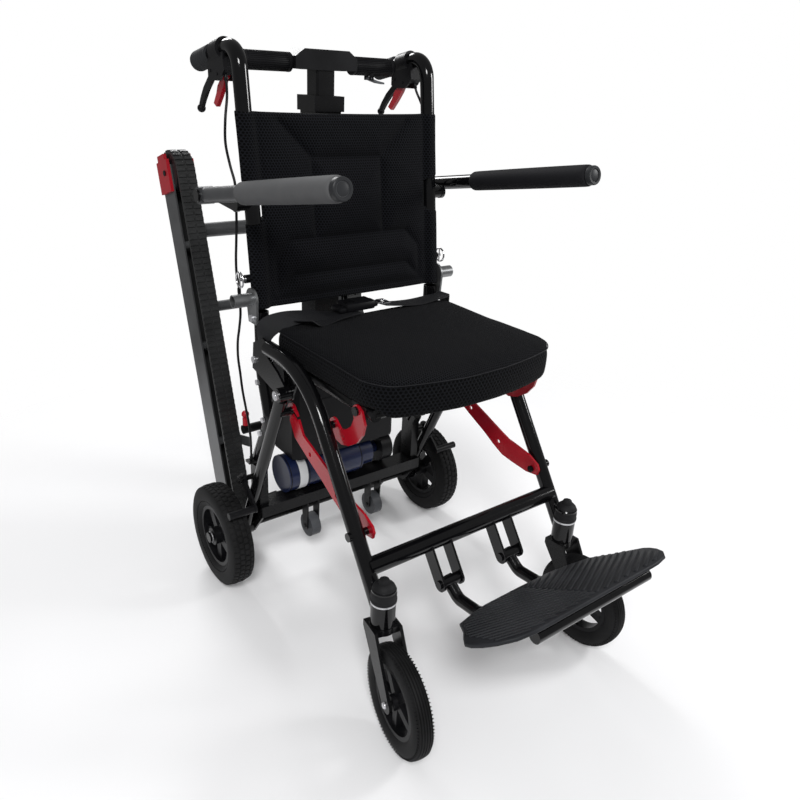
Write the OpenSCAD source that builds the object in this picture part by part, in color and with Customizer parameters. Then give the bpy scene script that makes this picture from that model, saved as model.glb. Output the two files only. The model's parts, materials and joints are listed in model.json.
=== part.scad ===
// Stair climbing wheelchair with a fold-out crawler unit.
// The front faces -Y, up is +Z, and the floor is at z = 0.
// Side view points are written as [ahead of the rear axle, height].

/* [Rear wheels] */
// Radius of the rear tyre
rear_wheel_r = 100; // [90:1:104]
// Width of the rear tyre
rear_wheel_w = 45; // [30:1:50]
// Distance of the rear wheel centre from the middle
rear_wheel_x = 250; // [246:1:270]
// Radius of the rear hub rim
rear_rim_r = 60; // [45:1:70]
// Diameter of the rear axle
axle_d = 12; // [8:0.5:16]
// Number of hub blades
hub_blades = 5; // [3:1:8]

/* [Casters] */
// Radius of the front tyre
front_wheel_r = 85; // [75:1:86]
// Width of the front tyre
front_wheel_w = 30; // [22:1:34]
// Radius of the front hub rim
front_rim_r = 56; // [45:1:65]
// Distance of the swivel axis from the middle
caster_x = 198; // [196:0.5:200]
// How far the swivel axis is ahead of the rear axle
caster_ahead = 452; // [448:1:458]
// How far the front wheel axle is ahead of the swivel axis
caster_trail = 62; // [50:1:66]
// Swivel of the right caster at rest
caster_turn_right = -9; // [-20:1:0]
// Swivel of the left caster at rest
caster_turn_left = 3; // [0:1:20]
// Radius of the swivel stem
stem_r = 12; // [9:0.5:14]

/* [Frame] */
// Distance of the front leg tubes from the middle
leg_x = 199; // [198.5:0.1:200]
// Diameter of the front leg tubes
leg_d = 25; // [22:0.5:26]
// Distance of the rear leg tubes from the middle
rear_leg_x = 201; // [200.5:0.1:202]
// Diameter of the rear leg tubes
rear_leg_d = 22; // [18:0.5:22.4]
// Distance of the canes from the middle
cane_x = 183; // [182.5:0.1:183.5]
// Diameter of the canes
cane_d = 25; // [22:0.5:25.6]
// Wall of the tubes
tube_wall = 2; // [1.2:0.1:3]
// Diameter of the front cross tube
cross_d = 28; // [22:0.5:32]
// Thickness of the red link plates
link_t = 4; // [3:0.5:4]
// Diameter of the frame pivot bolts
pivot_d = 8; // [6:0.5:9]
// Diameter of the link studs
stud_d = 6; // [5:0.5:7]

/* [Footrest] */
// Upward tilt of the footplate
foot_tilt = 31; // [24:1:34]
// Thickness of the footplate
foot_t = 6; // [4:0.5:8]
// Diameter of the footrest tubes
foot_d = 20; // [16:0.5:22]
// Distance of the footrest tubes from the middle
foot_x = 66; // [55:1:75]

/* [Seat] */
// Half width of the seat cushion
seat_half_w = 186; // [170:1:186]
// Thickness of the seat cushion at its edges
cushion_t = 48; // [35:1:50]
// Height of the crown of the cushion
cushion_crown = 8; // [4:1:14]
// Diameter of the seat rails
rail_d = 20; // [16:0.5:22]
// Distance of the seat rails from the middle
rail_x = 165; // [160:0.5:165]
// Width of the belt webbing
belt_w = 40; // [25:1:45]

/* [Back] */
// Backward lean of the back
back_lean = 7.3; // [4:0.1:10]
// Thickness of the back panel
back_t = 26; // [20:1:30]
// Diameter of the push grips
grip_d = 33; // [29:0.5:36]
// Distance of the armrest tubes from the middle
arm_x = 232; // [231:0.5:236]
// Diameter of the armrest tubes
arm_d = 25; // [20:0.5:25]
// Diameter of the armrest pads
pad_d = 34; // [28:0.5:35]
// Length of the armrest pads
pad_len = 264; // [200:1:270]
// Slope of the armrests
arm_slope = 9.2; // [4:0.1:14]

/* [Lifting handle] */
// Outside of the square post
post_w = 52; // [46:0.5:56]
// Outside of the square stem
stem_w = 37; // [30:0.5:40]
// Height of the cross bar
bar_z = 937; // [925:1:950]
// Diameter of the cross bar grips
bar_grip_d = 31; // [27:0.5:34]

/* [Crawler] */
// Lean of the crawler
crawler_lean = 16.2; // [13:0.1:18]
// Distance between the drum axis and the idler axis
track_len = 698; // [660:1:710]
// Radius of the outside of the belt
belt_r = 42.5; // [38:0.5:44]
// Thickness of the belt
belt_t = 6; // [4:0.5:8]
// Distance of the track middle from the middle
track_x = 169.5; // [168:0.5:170]
// Width of the belt
track_w = 36.4; // [30:0.2:36.4]
// Thickness of the side rails
side_t = 3; // [2:0.5:3]
// Diameter of the drive shaft
shaft_d = 16; // [12:0.5:20]

/* [Drive] */
// Diameter of the motor
motor_d = 75; // [60:1:75]
// Half width of the battery case
battery_half_w = 118; // [90:1:125]
// Height of the battery case
battery_h = 178; // [150:1:180]

/* [Hidden] */
$fn = 48;
// running clearance between moving pieces
gap = 0.3;
// radial clearance of a pin in its bore
fit = 0.08;
front_reach = 678;
rear_reach = 343;
axle_y = (front_reach - rear_reach) / 2;
axle = [0, rear_wheel_r];
pivot = [162, 443];
seat_pivot = [90, 480];
hook_low = [283, 434];
hook_high = [343, 480];
brace_low = [380, 296];
brace_high = [152, 405];
hinge = [57, 575];
drum = [-106, 62];
arm_pivot = [-30, 732];
brake_pivot = [30, 225];
foot_pivot = [450, 200];
leg_end = [112, 507];
leg_top = [235, 507];
leg_low = [caster_ahead - 3, 194];
cross = [410, 254];
cushion_rear = 97;
cushion_front = 392;
cushion_bow = 35;
rail_front = cushion_front - 20;
cushion_low = seat_pivot[1] + rail_d / 2 + 1;
cushion_side = cushion_low + cushion_t;
foot_base = [508, 197];
lever_pivot = [-70, 918];
lock_pivot = [-45, 914];
grip_tilt = 10.7;
grip_corner_z = 959;
grip_corner = hinge + (grip_corner_z - hinge[1]) * [-tan(back_lean), 1];
guide = [39, 81];
motor = [17, 203];
collar_z = bar_z - 75;
hinge_r = 19;
plate_t = 3.3;
leg_plate_x = leg_x - leg_d / 2 - 0.1;
band_x = cane_x + cane_d / 2;
link_x = 176;
inner_w = post_w - 5;
track_in = track_x - track_w / 2 - gap - side_t;
track_out = track_x + track_w / 2 + gap + side_t;

// Turns a side view point into the plane of the side sketches.
function sp(p) = [axle_y - p[0], p[1]];

// Turns a list of side view points.
function sps(list) = [for (p = list) sp(p)];

// Turning angle of a path at one of its inner points.
function dir_of(a, b) = atan2(b[1] - a[1], b[0] - a[0]);
function wrap(t) = t > 180 ? t - 360 : (t < -180 ? t + 360 : t);
function turn(p, i) = wrap(dir_of(p[i], p[i + 1]) - dir_of(p[i - 1], p[i]));
function bend_at(p, i, bend) = (i == 0 || i == len(p) - 1) ? 0 : bend * tan(abs(turn(p, i)) / 2);

// A round bar along a path in its own XY plane, with round bends.
// Straights reach a little into the bends, which are a hair thicker.
lap = 0.8;
swell = 0.06;
module run(p, r, bend, over = 0) {
    last = len(p) - 1;
    for (i = [0 : last - 1]) {
        phi = dir_of(p[i], p[i + 1]);
        t0 = i == 0 ? -over : bend_at(p, i, bend) - lap;
        t1 = i == last - 1 ? -over : bend_at(p, i + 1, bend) - lap;
        translate([p[i][0] + t0 * cos(phi), p[i][1] + t0 * sin(phi), 0])
            rotate([0, 90, phi])
                cylinder(h = norm(p[i + 1] - p[i]) - t0 - t1, r = r);
    }
    if (last > 1) {
        for (i = [1 : last - 1]) {
            phi = dir_of(p[i - 1], p[i]);
            th = turn(p, i);
            t = bend_at(p, i, bend);
            side = th > 0 ? 1 : -1;
            sx = p[i][0] - t * cos(phi);
            sy = p[i][1] - t * sin(phi);
            translate([sx - side * bend * sin(phi), sy + side * bend * cos(phi), 0])
                rotate([0, 0, th > 0 ? phi - 90 : phi + 90 + th])
                    rotate_extrude(angle = abs(th))
                        translate([bend, 0])
                            circle(r = r + swell);
        }
    }
}

// A hollow bent tube in the side view at a distance x from the middle.
module side_tube(p, d, bend, x, wall = tube_wall) {
    translate([x, 0, 0])
        rotate([90, 0, 90])
            difference() {
                run(sps(p), d / 2, bend);
                run(sps(p), d / 2 - wall, bend, 1);
            }
}

// A solid bent bar in the side view at a distance x from the middle.
module side_bar(p, d, bend, x) {
    translate([x, 0, 0])
        rotate([90, 0, 90])
            run(sps(p), d / 2, bend);
}

// A plate drawn in the side view, from x to x + t.
module side_plate(x, t) {
    translate([x, 0, 0])
        rotate([90, 0, 90])
            linear_extrude(height = t)
                children();
}

// A crosswise cylinder at a side view point, from x0 to x1.
module lateral(p, x0, x1, r) {
    translate([x0, axle_y - p[0], p[1]])
        rotate([0, 90, 0])
            cylinder(h = x1 - x0, r = r);
}

// A disc in the side view sketch.
module dot(p, r) {
    translate(sp(p))
        circle(r = r);
}

// Both sides, the left one mirrored.
module pair() {
    children();
    mirror([1, 0, 0])
        children();
}

// The right side of a piece that is drawn on the left.
module to_right() {
    mirror([1, 0, 0])
        children();
}

// A strip with straight edges between two side view points.
module strip(a, b, w) {
    d = dir_of(a, b) + 90;
    o = [w / 2 * cos(d), w / 2 * sin(d)];
    polygon(sps([a + o, b + o, b - o, a - o]));
}

// The crawler's own frame: z runs up the track from the drum axis.
module crawler() {
    translate([0, axle_y - drum[0], drum[1]])
        rotate([-crawler_lean, 0, 0])
            children();
}

// A cord swept along points, with eight sides.
function unit(v) = v / norm(v);
function tangent(p, i) = unit(p[min(i + 1, len(p) - 1)] - p[max(i - 1, 0)]);
module cord(p, r) {
    n = len(p);
    pts = [for (i = [0 : n - 1])
        let (t = tangent(p, i), u = unit(cross([1, 0, 0], t)), v = cross(t, u))
            for (k = [0 : 7]) p[i] + r * (cos(45 * k) * u + sin(45 * k) * v)];
    faces = concat(
        [for (i = [0 : n - 2], k = [0 : 7]) [i * 8 + k, i * 8 + (k + 1) % 8, i * 8 + 8 + k]],
        [for (i = [0 : n - 2], k = [0 : 7]) [i * 8 + (k + 1) % 8, i * 8 + 8 + (k + 1) % 8, i * 8 + 8 + k]],
        [for (k = [1 : 6]) [0, k + 1, k]],
        [for (k = [1 : 6]) [(n - 1) * 8, (n - 1) * 8 + k, (n - 1) * 8 + k + 1]]);
    polyhedron(points = pts, faces = faces);
}

// Smooth points between the chosen ones.
function mix(p, q, r, s, t) = 0.5 * (2 * q + (r - p) * t + (2 * p - 5 * q + 4 * r - s) * t * t
    + (3 * q - p - 3 * r + s) * t * t * t);
function smooth(p, m) = concat([for (i = [0 : len(p) - 2], j = [0 : m - 1])
    mix(p[max(i - 1, 0)], p[i], p[i + 1], p[min(i + 2, len(p) - 1)], j / m)], [p[len(p) - 1]]);
function at(x, p) = [x, axle_y - p[0], p[1]];

// Rear legs with their band plates
module rear_legs() {
    leg_inside = rear_leg_x - rear_leg_d / 2 + 0.4;
    leg_outside = rear_leg_x + rear_leg_d / 2 - 0.4;
    color("#1a1a1c")
        pair() {
            difference() {
                union() {
                    side_tube([[4, 108], [pivot[0] - 5, pivot[1] - 10]], rear_leg_d, 0, rear_leg_x);
                    lateral(axle, leg_inside, leg_outside, axle_d / 2 + 10);
                    lateral(pivot, leg_inside, leg_outside, pivot_d / 2 + 8);
                    side_plate(band_x, 4)
                        polygon(sps([pivot + [-2, -14], pivot + [9, -9], pivot + [10, 8], [140, 474],
                            [109, 488], [106, 514], [92, 518], [58, 500], [52, 452]]));
                    lateral(brace_high, link_x + link_t + gap, rear_leg_x, 7);
                    lateral(brace_high, link_x - gap, rear_leg_x - 3, stud_d / 2 + 1);
                    lateral(brace_high, link_x - 3.5, link_x - gap, stud_d / 2 + 4);
                }
                lateral(axle, 150, 300, axle_d / 2);
                lateral(pivot, 150, 300, pivot_d / 2);
                lateral([62, 470], 150, 300, stud_d / 2);
            }
        }
}

// Lower canes with their front pivot lugs and short struts
module lower_canes() {
    color("#161618")
        pair() {
            difference() {
                union() {
                    side_tube([[59, 553], [60, 443], [84, 362], [26, 251]], cane_d, 40, cane_x);
                    side_plate(link_x + 2.5, 4)
                        union() {
                            strip([62, 480], seat_pivot, 20);
                            dot(seat_pivot, 10);
                        }
                }
                lateral(seat_pivot, 150, 200, pivot_d / 2);
            }
        }
    color("#9a9ca0")
        pair()
            side_bar([[109, 439], [99, 404]], 12, 10, cane_x - 1);
    color("#9a9ca0")
        pair()
            side_bar([[99, 404], [93, 384]], 7, 10, cane_x - 1);
}

// Hinge plates with the hinge pins and open stub tubes
module hinge_brackets() {
    color("#b4b6b8")
        pair()
            difference() {
                union() {
                    side_plate(band_x + 0.4, 4)
                        union() {
                            dot(hinge, hinge_r);
                            polygon(sps([[38, 575], [76, 575], [73, 534], [45, 534]]));
                        }
                    lateral(hinge, cane_x - 9.5, band_x + 3, 5);
                    lateral(hinge, band_x + 2, 233, 11);
                }
                lateral(hinge, band_x + 8, 240, 9);
                lateral([59, 543], 150, 300, stud_d / 2);
            }
}

// Cross rails, side arms, wheel supports and the rear axle
module undercarriage() {
    color("#141416") {
        difference() {
            union() {
                translate([-190, axle_y - 52, 140])
                    cube([380, 40, 23]);
                translate([-post_w / 2 - 4, axle_y - 14, 140])
                    cube([post_w + 8, 14 + 53 + post_w / 2, 25]);
                pair() {
                    side_plate(185.5, 4)
                        union() {
                            dot(axle, axle_d / 2 + 9);
                            polygon(sps([[-12, 92], [12, 92], [50, 140], [50, 163], [12, 163]]));
                        }
                    side_plate(137, 6)
                        union() {
                            dot(drum, shaft_d / 2 + 10);
                            polygon(sps([[-106, 44], [-100, 45], [46, 140], [46, 163], [8, 163], [-112, 79]]));
                        }
                    translate([172, axle_y - 44, 150])
                        cube([17.5, 36, 97]);
                    side_plate(172, 17.5)
                        polygon(sps([[8, 246], [44, 246], [52, 262], [40, 272], [14, 262]]));
                    for (x = [62, 87])
                        side_plate(x, 3)
                            union() {
                                dot(guide, 9);
                                polygon(sps([[30, 84], [48, 84], [50, 142], [28, 142]]));
                            }
                    lateral(guide, 60, 92, 4);
                    lateral(brake_pivot, 188, 222, 5);
                    lateral(brake_pivot, 222, 225, 8);
                    translate([188, axle_y - 42, 258])
                        cube([20, 16, 4]);
                }
            }
            pair() {
                lateral(drum, 100, 190, shaft_d / 2 + fit);
                side_bar([[26, 251], [60, 316]], cane_d + 0.02, 10, cane_x);
                translate([200, axle_y - 34, 250])
                    cylinder(h = 20, r = 1.5);
            }
        }
    }
    color("silver") {
        lateral(axle, -(rear_wheel_x + 24), rear_wheel_x + 24, axle_d / 2 - 0.02);
        pair() {
            lateral(axle, rear_wheel_x + rear_wheel_w / 2 + gap, rear_wheel_x + 29, 10);
            lateral(axle, rear_leg_x + rear_leg_d / 2, rear_wheel_x - rear_wheel_w / 2 - gap, 10);
        }
    }
}

// Motor
module drive_motor() {
    color("#25345c") {
        lateral(motor, -130, 40, motor_d / 2);
        lateral(motor, 40, 70, motor_d / 2 - 8);
        lateral(motor, 70, 91, 12);
    }
}

// Chain case between the motor and the drive shaft
module drive_case() {
    color("#1c1c1e")
        difference() {
            side_plate(92, 26)
                union() {
                    dot(motor, 32);
                    dot(drum, 27);
                    strip(motor, drum, 44);
                }
            lateral(motor, 80, 100, 12.2);
            lateral(drum, 80, 130, shaft_d / 2 + fit);
        }
}

// Battery case with its bare front plate
module battery_case() {
    color("#18181a") {
        difference() {
            translate([-battery_half_w, axle_y - 52, 242])
                cube([2 * battery_half_w, 52 + 53 - post_w / 2, battery_h]);
            for (s = [-1, 1])
                translate([s * battery_half_w, axle_y - 52, 200])
                    rotate([0, 0, 45])
                        cube([16, 16, 500], center = true);
        }
        translate([-70, axle_y - 53, 290])
            cube([110, 1.5, 70]);
    }
}

// Square post with its collar and the latch bar
module handle_post() {
    color("#17171a")
        difference() {
            union() {
                translate([-post_w / 2, axle_y + 53 - post_w / 2, 165])
                    cube([post_w, post_w, collar_z - 162]);
                translate([-post_w / 2 - 4, axle_y + 49 - post_w / 2, collar_z])
                    cube([post_w + 8, post_w + 8, 25]);
                translate([-14, axle_y + 53 + post_w / 2 - 1, 255])
                    cube([28, 9, 14]);
            }
            translate([-inner_w / 2, axle_y + 53 - inner_w / 2, 169])
                cube([inner_w, inner_w, collar_z - 171]);
            translate([-stem_w / 2 - gap, axle_y + 53 - stem_w / 2 - gap, collar_z - 12])
                cube([stem_w + 2 * gap, stem_w + 2 * gap, 60]);
        }
    color("#17171a")
        difference() {
            lateral([-88, 262], -158, 158, 9);
            for (s = [-1, 1])
                translate([s * 151, axle_y + 88, 250])
                    cylinder(h = 30, r = 3.5);
            translate([-14, axle_y + 53 + post_w / 2 - 1, 255])
                cube([28, 9, 14]);
        }
}

// Bolts and nuts of the rear frame
module frame_bolts() {
    color("silver")
        pair() {
            lateral(pivot, leg_plate_x - gap - 3, rear_leg_x + rear_leg_d / 2 + 5, pivot_d / 2 - 0.02);
            lateral(pivot, rear_leg_x + rear_leg_d / 2, rear_leg_x + rear_leg_d / 2 + 4, pivot_d / 2 + 4);
            lateral(pivot, leg_plate_x - gap - 3, leg_plate_x - gap, pivot_d / 2 + 3);
            lateral(seat_pivot, 168, link_x + 8, pivot_d / 2 - 0.02);
            lateral(seat_pivot, link_x + 6.5, link_x + 9, pivot_d / 2 + 4);
            lateral(seat_pivot, 168, 170.7, pivot_d / 2 + 3);
            lateral([62, 470], band_x - 0.01, band_x + 8, stud_d / 2 - 0.02);
            lateral([62, 470], band_x + 4, band_x + 8, stud_d / 2 + 3);
            lateral([59, 543], band_x - 0.01, band_x + 8, stud_d / 2 - 0.02);
            lateral([59, 543], band_x + 4.4, band_x + 8, stud_d / 2 + 3);
            for (p = [[64, 428], [66, 330]])
                lateral(p, band_x - 0.01, band_x + 4, stud_d / 2 + 2);
            lateral([80, 362], band_x + swell - 0.01, band_x + 4, stud_d / 2 + 2);
        }
}

// Lower brake cables, from the hinge to the cable stops
low_cable = [[205, 24, 577.7], [205, 25, 560], [206, 27, 541], [207, 22, 515], [207, 14, 490],
    [207, 12, 460], [206, 16, 430], [206, 22, 400], [205, 30, 370], [204, 38, 340], [203, 41, 310],
    [201, 37, 285], [200, 34, 262.1]];
module brake_cables() {
    color("#0d0d0e")
        pair()
            cord(smooth([for (q = low_cable) at(q[0], [q[1], q[2]])], 2), 2.2);
}

// Rails of the crawler with their cross tubes and latch lugs
module track_rails() {
    color("#8d9093")
        crawler() {
            pair() {
                for (x = [track_in, track_out - side_t])
                    difference() {
                        translate([x, 0, 0])
                            rotate([90, 0, 90])
                                linear_extrude(height = side_t)
                                    union() {
                                        translate([-16.5, 0])
                                            square([54, track_len + 14]);
                                        circle(r = 22);
                                    }
                        translate([x - 1, 0, 0])
                            rotate([0, 90, 0])
                                cylinder(h = side_t + 2, r = shaft_d / 2 + fit);
                        translate([x - 1, 0, track_len])
                            rotate([0, 90, 0])
                                cylinder(h = side_t + 2, r = 5 + fit);
                    }
                translate([track_in, -80, 150])
                    cube([side_t, 74, 20]);
                for (z = [160, 360, 560])
                    translate([track_in, 0, z])
                        rotate([0, 90, 0])
                            cylinder(h = track_out - track_in, r = 8);
            }
            difference() {
                translate([-track_in - 0.5, 0, track_len - 112])
                    rotate([0, 90, 0])
                        cylinder(h = 2 * track_in + 1, r = 14);
                translate([-track_in + side_t, 0, track_len - 112])
                    rotate([0, 90, 0])
                        cylinder(h = 2 * track_in - 2 * side_t, r = 12);
            }
            translate([-track_in - 0.5, 0, track_len - 264])
                rotate([0, 90, 0])
                    cylinder(h = 2 * track_in + 1, r = 10.5);
        }
}

// Rubber belts
module track_belts() {
    color("#1b1b1d")
        crawler()
            pair()
                translate([track_x - track_w / 2, 0, 0])
                    rotate([90, 0, 90])
                        linear_extrude(height = track_w)
                            difference() {
                                union() {
                                    circle(r = belt_r);
                                    translate([0, track_len])
                                        circle(r = belt_r);
                                    translate([-belt_r, 0])
                                        square([2 * belt_r, track_len]);
                                }
                                circle(r = belt_r - belt_t);
                                translate([0, track_len])
                                    circle(r = belt_r - belt_t);
                                translate([belt_t - belt_r, 0])
                                    square([2 * (belt_r - belt_t), track_len]);
                            }
}

// Red end caps
module end_caps() {
    color("#b3141b")
        crawler()
            pair()
                for (x = [track_in - 6, track_out])
                    difference() {
                        translate([x, 0, 0])
                            rotate([90, 0, 90])
                                linear_extrude(height = 6)
                                    union() {
                                        translate([-16.5, track_len - 36])
                                            square([54, 60]);
                                        translate([-6.5, track_len - 31])
                                            square([34, 66]);
                                    }
                        translate([x - 1, 0, track_len])
                            rotate([0, 90, 0])
                                cylinder(h = 8, r = 5 + fit);
                    }
}

// Drive shaft with its two drums
module drive_shaft() {
    color("#6d7074")
        crawler() {
            rotate([0, 90, 0])
                translate([0, 0, -track_out - 1])
                    cylinder(h = 2 * track_out + 2, r = shaft_d / 2);
            pair()
                translate([track_x - track_w / 2, 0, 0])
                    rotate([0, 90, 0])
                        cylinder(h = track_w, r = belt_r - belt_t - gap);
        }
}

// Idler rollers at the top of the tracks
module track_idlers() {
    color("#6d7074")
        crawler()
            pair() {
                translate([track_x - track_w / 2, 0, track_len])
                    rotate([0, 90, 0])
                        cylinder(h = track_w, r = belt_r - belt_t - gap);
                translate([track_in - 8, 0, track_len])
                    rotate([0, 90, 0])
                        cylinder(h = track_out - track_in + 16, r = 5);
            }
}

// Spring knob of the crawler latch
module release_knob() {
    color("#b3141b")
        translate([151, axle_y + 88, 295])
            sphere(r = 7.5);
    color("#141416") {
        translate([151, axle_y + 88, 253.4])
            cylinder(h = 36, r = 3.2);
        translate([151, axle_y + 88, 271.4])
            cylinder(h = 16, r = 6);
    }
}
module release_knob_right() {
    to_right()
        release_knob();
}
module release_knob_left() {
    release_knob();
}

// A wheel tyre about the X axis: outer radius, inner radius and width
module tyre(r, rim, w) {
    c = w * 0.22;
    rotate([0, 90, 0])
        rotate_extrude($fn = 96)
            polygon([[rim, -w * 0.36], [r - 2 * c, -w / 2], [r - c, -w / 2 + 1], [r - c * 0.35, -w / 2 + c * 0.8],
                [r - 0.8, -w * 0.22], [r, 0], [r - 0.8, w * 0.22], [r - c * 0.35, w / 2 - c * 0.8],
                [r - c, w / 2 - 1], [r - 2 * c, w / 2], [rim, w * 0.36]]);
}

// A bladed hub about the X axis
module hub(rim, w, bore, n, core) {
    rotate([0, 90, 0])
        difference() {
            union() {
                difference() {
                    translate([0, 0, -w * 0.36])
                        cylinder(h = w * 0.72, r = rim);
                    translate([0, 0, -w])
                        cylinder(h = 2 * w, r = rim - 7);
                }
                translate([0, 0, -w * 0.46])
                    cylinder(h = w * 0.92, r = core);
                for (k = [0 : n - 1])
                    rotate([0, 0, k * 360 / n])
                        translate([core - 3, -core * 0.53, -w * 0.2])
                            cube([rim - core - 1, core * 1.06, w * 0.4]);
            }
            if (bore > 0)
                translate([0, 0, -w])
                    cylinder(h = 2 * w, r = bore);
        }
}

module rear_tyre_left() {
    color("#333436")
        translate(at(rear_wheel_x, axle))
            tyre(rear_wheel_r, rear_rim_r, rear_wheel_w);
}
module rear_tyre_right() {
    to_right()
        rear_tyre_left();
}
module rear_hub_left() {
    color("#1b1c1e")
        translate(at(rear_wheel_x, axle))
            hub(rear_rim_r, rear_wheel_w, axle_d / 2 + fit, hub_blades, 17);
}
module rear_hub_right() {
    to_right()
        rear_hub_left();
}

// Guide wheels under the frame
module guide_wheel_left() {
    color("#7b7e82")
        difference() {
            lateral(guide, 66, 86, 24);
            lateral(guide, 60, 92, 4 + fit);
        }
}
module guide_wheel_right() {
    to_right()
        guide_wheel_left();
}

// Tyre brake arm with its crosswise shoe bar
module brake_arm_left() {
    shoe = [75, 184];
    color("#2a2b2d")
        difference() {
            union() {
                side_plate(rear_leg_x + rear_leg_d / 2 + 2, 4)
                    union() {
                        strip(brake_pivot, shoe, 16);
                        dot(brake_pivot, 11);
                        dot(shoe, 8);
                    }
                lateral(shoe, rear_leg_x + rear_leg_d / 2 + 2, rear_wheel_x + 18, 7);
            }
            lateral(brake_pivot, 180, 240, 5 + fit);
        }
}
module brake_arm_right() {
    to_right()
        brake_arm_left();
}

// Front legs with their pivot plates, studs, sleeves and domes
module front_legs() {
    color("#141416")
        pair()
            difference() {
                union() {
                    side_tube([leg_end, leg_top, leg_low], leg_d, 160, leg_x);
                    side_plate(leg_plate_x, plate_t)
                        union() {
                            dot(pivot, 13);
                            polygon(sps([[pivot[0] - 13, pivot[1]], [pivot[0] - 20, 505], [pivot[0] + 44, 505],
                                [pivot[0] + 13, pivot[1]]]));
                        }
                    translate([caster_x, axle_y - caster_ahead, 183])
                        cylinder(h = 57, r = 19);
                    translate([caster_x, axle_y - caster_ahead, 240])
                        intersection() {
                            translate([0, 0, -7])
                                sphere(r = 22);
                            cylinder(h = 20, r = 18.9);
                        }
                    for (p = [hook_low, brace_low]) {
                        lateral(p, link_x + link_t + gap, leg_x, stud_d / 2 + 3);
                        lateral(p, link_x - gap, leg_x, stud_d / 2);
                        lateral(p, link_x - 3.5, link_x - gap, stud_d / 2 + 3);
                    }
                    lateral(brace_low, leg_x, leg_x + leg_d / 2 + 4, 7);
                }
                lateral(pivot, 150, 230, pivot_d / 2 + fit);
                translate([caster_x, axle_y - caster_ahead, 170])
                    cylinder(h = 62, r = stem_r + fit);
            }
}

// Cross tube between the front legs, with the footrest hangers
module front_cross_tube() {
    clear = foot_d / 2 + 7;
    color("#141416")
        difference() {
            union() {
                difference() {
                    lateral(cross, -leg_x, leg_x, cross_d / 2);
                    lateral(cross, -leg_x + 24, leg_x - 24, cross_d / 2 - tube_wall);
                    pair()
                        side_bar([leg_top, leg_low], leg_d, 10, leg_x);
                }
                pair()
                    for (x = [foot_x - clear - 4, foot_x + clear])
                        side_plate(x, 4)
                            union() {
                                dot(foot_pivot, 12);
                                strip(cross + [5, -6], foot_pivot, 24);
                            }
            }
        }
    color("silver")
        pair() {
            lateral(foot_pivot, foot_x - clear - 7, foot_x + clear + 7, 4);
            lateral(foot_pivot, foot_x - clear - 7, foot_x - clear - 4, 7);
            lateral(foot_pivot, foot_x + clear + 4, foot_x + clear + 7, 7);
        }
}

// Caster fork with its stem, drawn with the wheel straight ahead
module caster_fork(x, a) {
    half = front_wheel_w / 2 + 3;
    translate([x, axle_y - caster_ahead, 0])
        rotate([0, 0, a])
            difference() {
                union() {
                    translate([0, 0, 175])
                        cylinder(h = 53, r = stem_r);
                    translate([0, 0, 171.5])
                        cylinder(h = 11, r = 20);
                    for (s = [-1, 1])
                        translate([s > 0 ? half : -half - 5, 0, 0])
                            rotate([90, 0, 90])
                                linear_extrude(height = 5)
                                    union() {
                                        translate([-caster_trail, front_wheel_r])
                                            circle(r = 13);
                                        polygon([[-caster_trail - 13, front_wheel_r],
                                            [-caster_trail + 12, front_wheel_r - 4], [18, 172], [18, 182.5],
                                            [-20, 182.5]]);
                                    }
                    translate([-half - 3, -18, 171.5])
                        cube([2 * half + 6, 36, 11]);
                }
                translate([0, -caster_trail, front_wheel_r])
                    rotate([0, 90, 0])
                        cylinder(h = 100, r = 4, center = true);
            }
}
module caster_fork_right() {
    color("#1a1a1c")
        caster_fork(-caster_x, caster_turn_right);
}
module caster_fork_left() {
    color("#1a1a1c")
        caster_fork(caster_x, caster_turn_left);
}
module front_place(x, a) {
    translate([x, axle_y - caster_ahead, 0])
        rotate([0, 0, a])
            translate([0, -caster_trail, front_wheel_r])
                children();
}
module front_tyre_right() {
    color("#333436")
        front_place(-caster_x, caster_turn_right)
            tyre(front_wheel_r, front_rim_r, front_wheel_w);
}
module front_tyre_left() {
    color("#333436")
        front_place(caster_x, caster_turn_left)
            tyre(front_wheel_r, front_rim_r, front_wheel_w);
}
module front_wheel_core() {
    hub(front_rim_r, front_wheel_w, 0, hub_blades, 12);
    rotate([0, 90, 0])
        cylinder(h = front_wheel_w + 22, r = 4 - fit, center = true);
}
module front_hub_right() {
    color("#1b1c1e")
        front_place(-caster_x, caster_turn_right)
            front_wheel_core();
}
module front_hub_left() {
    color("#1b1c1e")
        front_place(caster_x, caster_turn_left)
            front_wheel_core();
}

// Red braces with a slotted upper end
module fold_braces() {
    slide = 19;
    way = unit(brace_low - brace_high);
    color("#b3141b")
        pair()
            side_plate(link_x, link_t)
                difference() {
                    union() {
                        polygon(sps([[150, 417], [168, 408], [189, 374], [250, 352], [300, 333], [318, 327],
                            [341, 324], [370, 319], [392, 309], [397, 300], [394, 289], [369, 285], [330, 288],
                            [306, 291], [281, 302], [255, 316], [208, 337], [163, 359], [146, 385]]));
                        dot(brace_high, 13);
                    }
                    dot(brace_low, stud_d / 2 + fit);
                    dot(brace_high, stud_d / 2 + 2.4);
                    dot(brace_high + slide * way, stud_d / 2 + 2.4);
                    strip(brace_high, brace_high + slide * way, stud_d + 4.8);
                    dot([212, 349], 4);
                    dot([293, 312], 4);
                }
}

// Red hook links
module hook_links() {
    color("#b3141b")
        pair()
            side_plate(link_x, link_t)
                difference() {
                    union() {
                        dot(hook_low, 11);
                        dot(hook_high, 9.6);
                        polygon(sps([[274, 428], [280, 413], [305, 409], [325, 415], [346, 429], [360, 447],
                            [365, 465], [356, 484], [344, 488.6], [332, 480], [337, 465], [330, 450], [315, 438],
                            [301, 434], [290, 442], [280, 445]]));
                    }
                    dot(hook_low, stud_d / 2 + fit);
                    dot(hook_high, stud_d / 2 + 2.4);
                    dot([310, 422], 3.5);
                }
}

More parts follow.
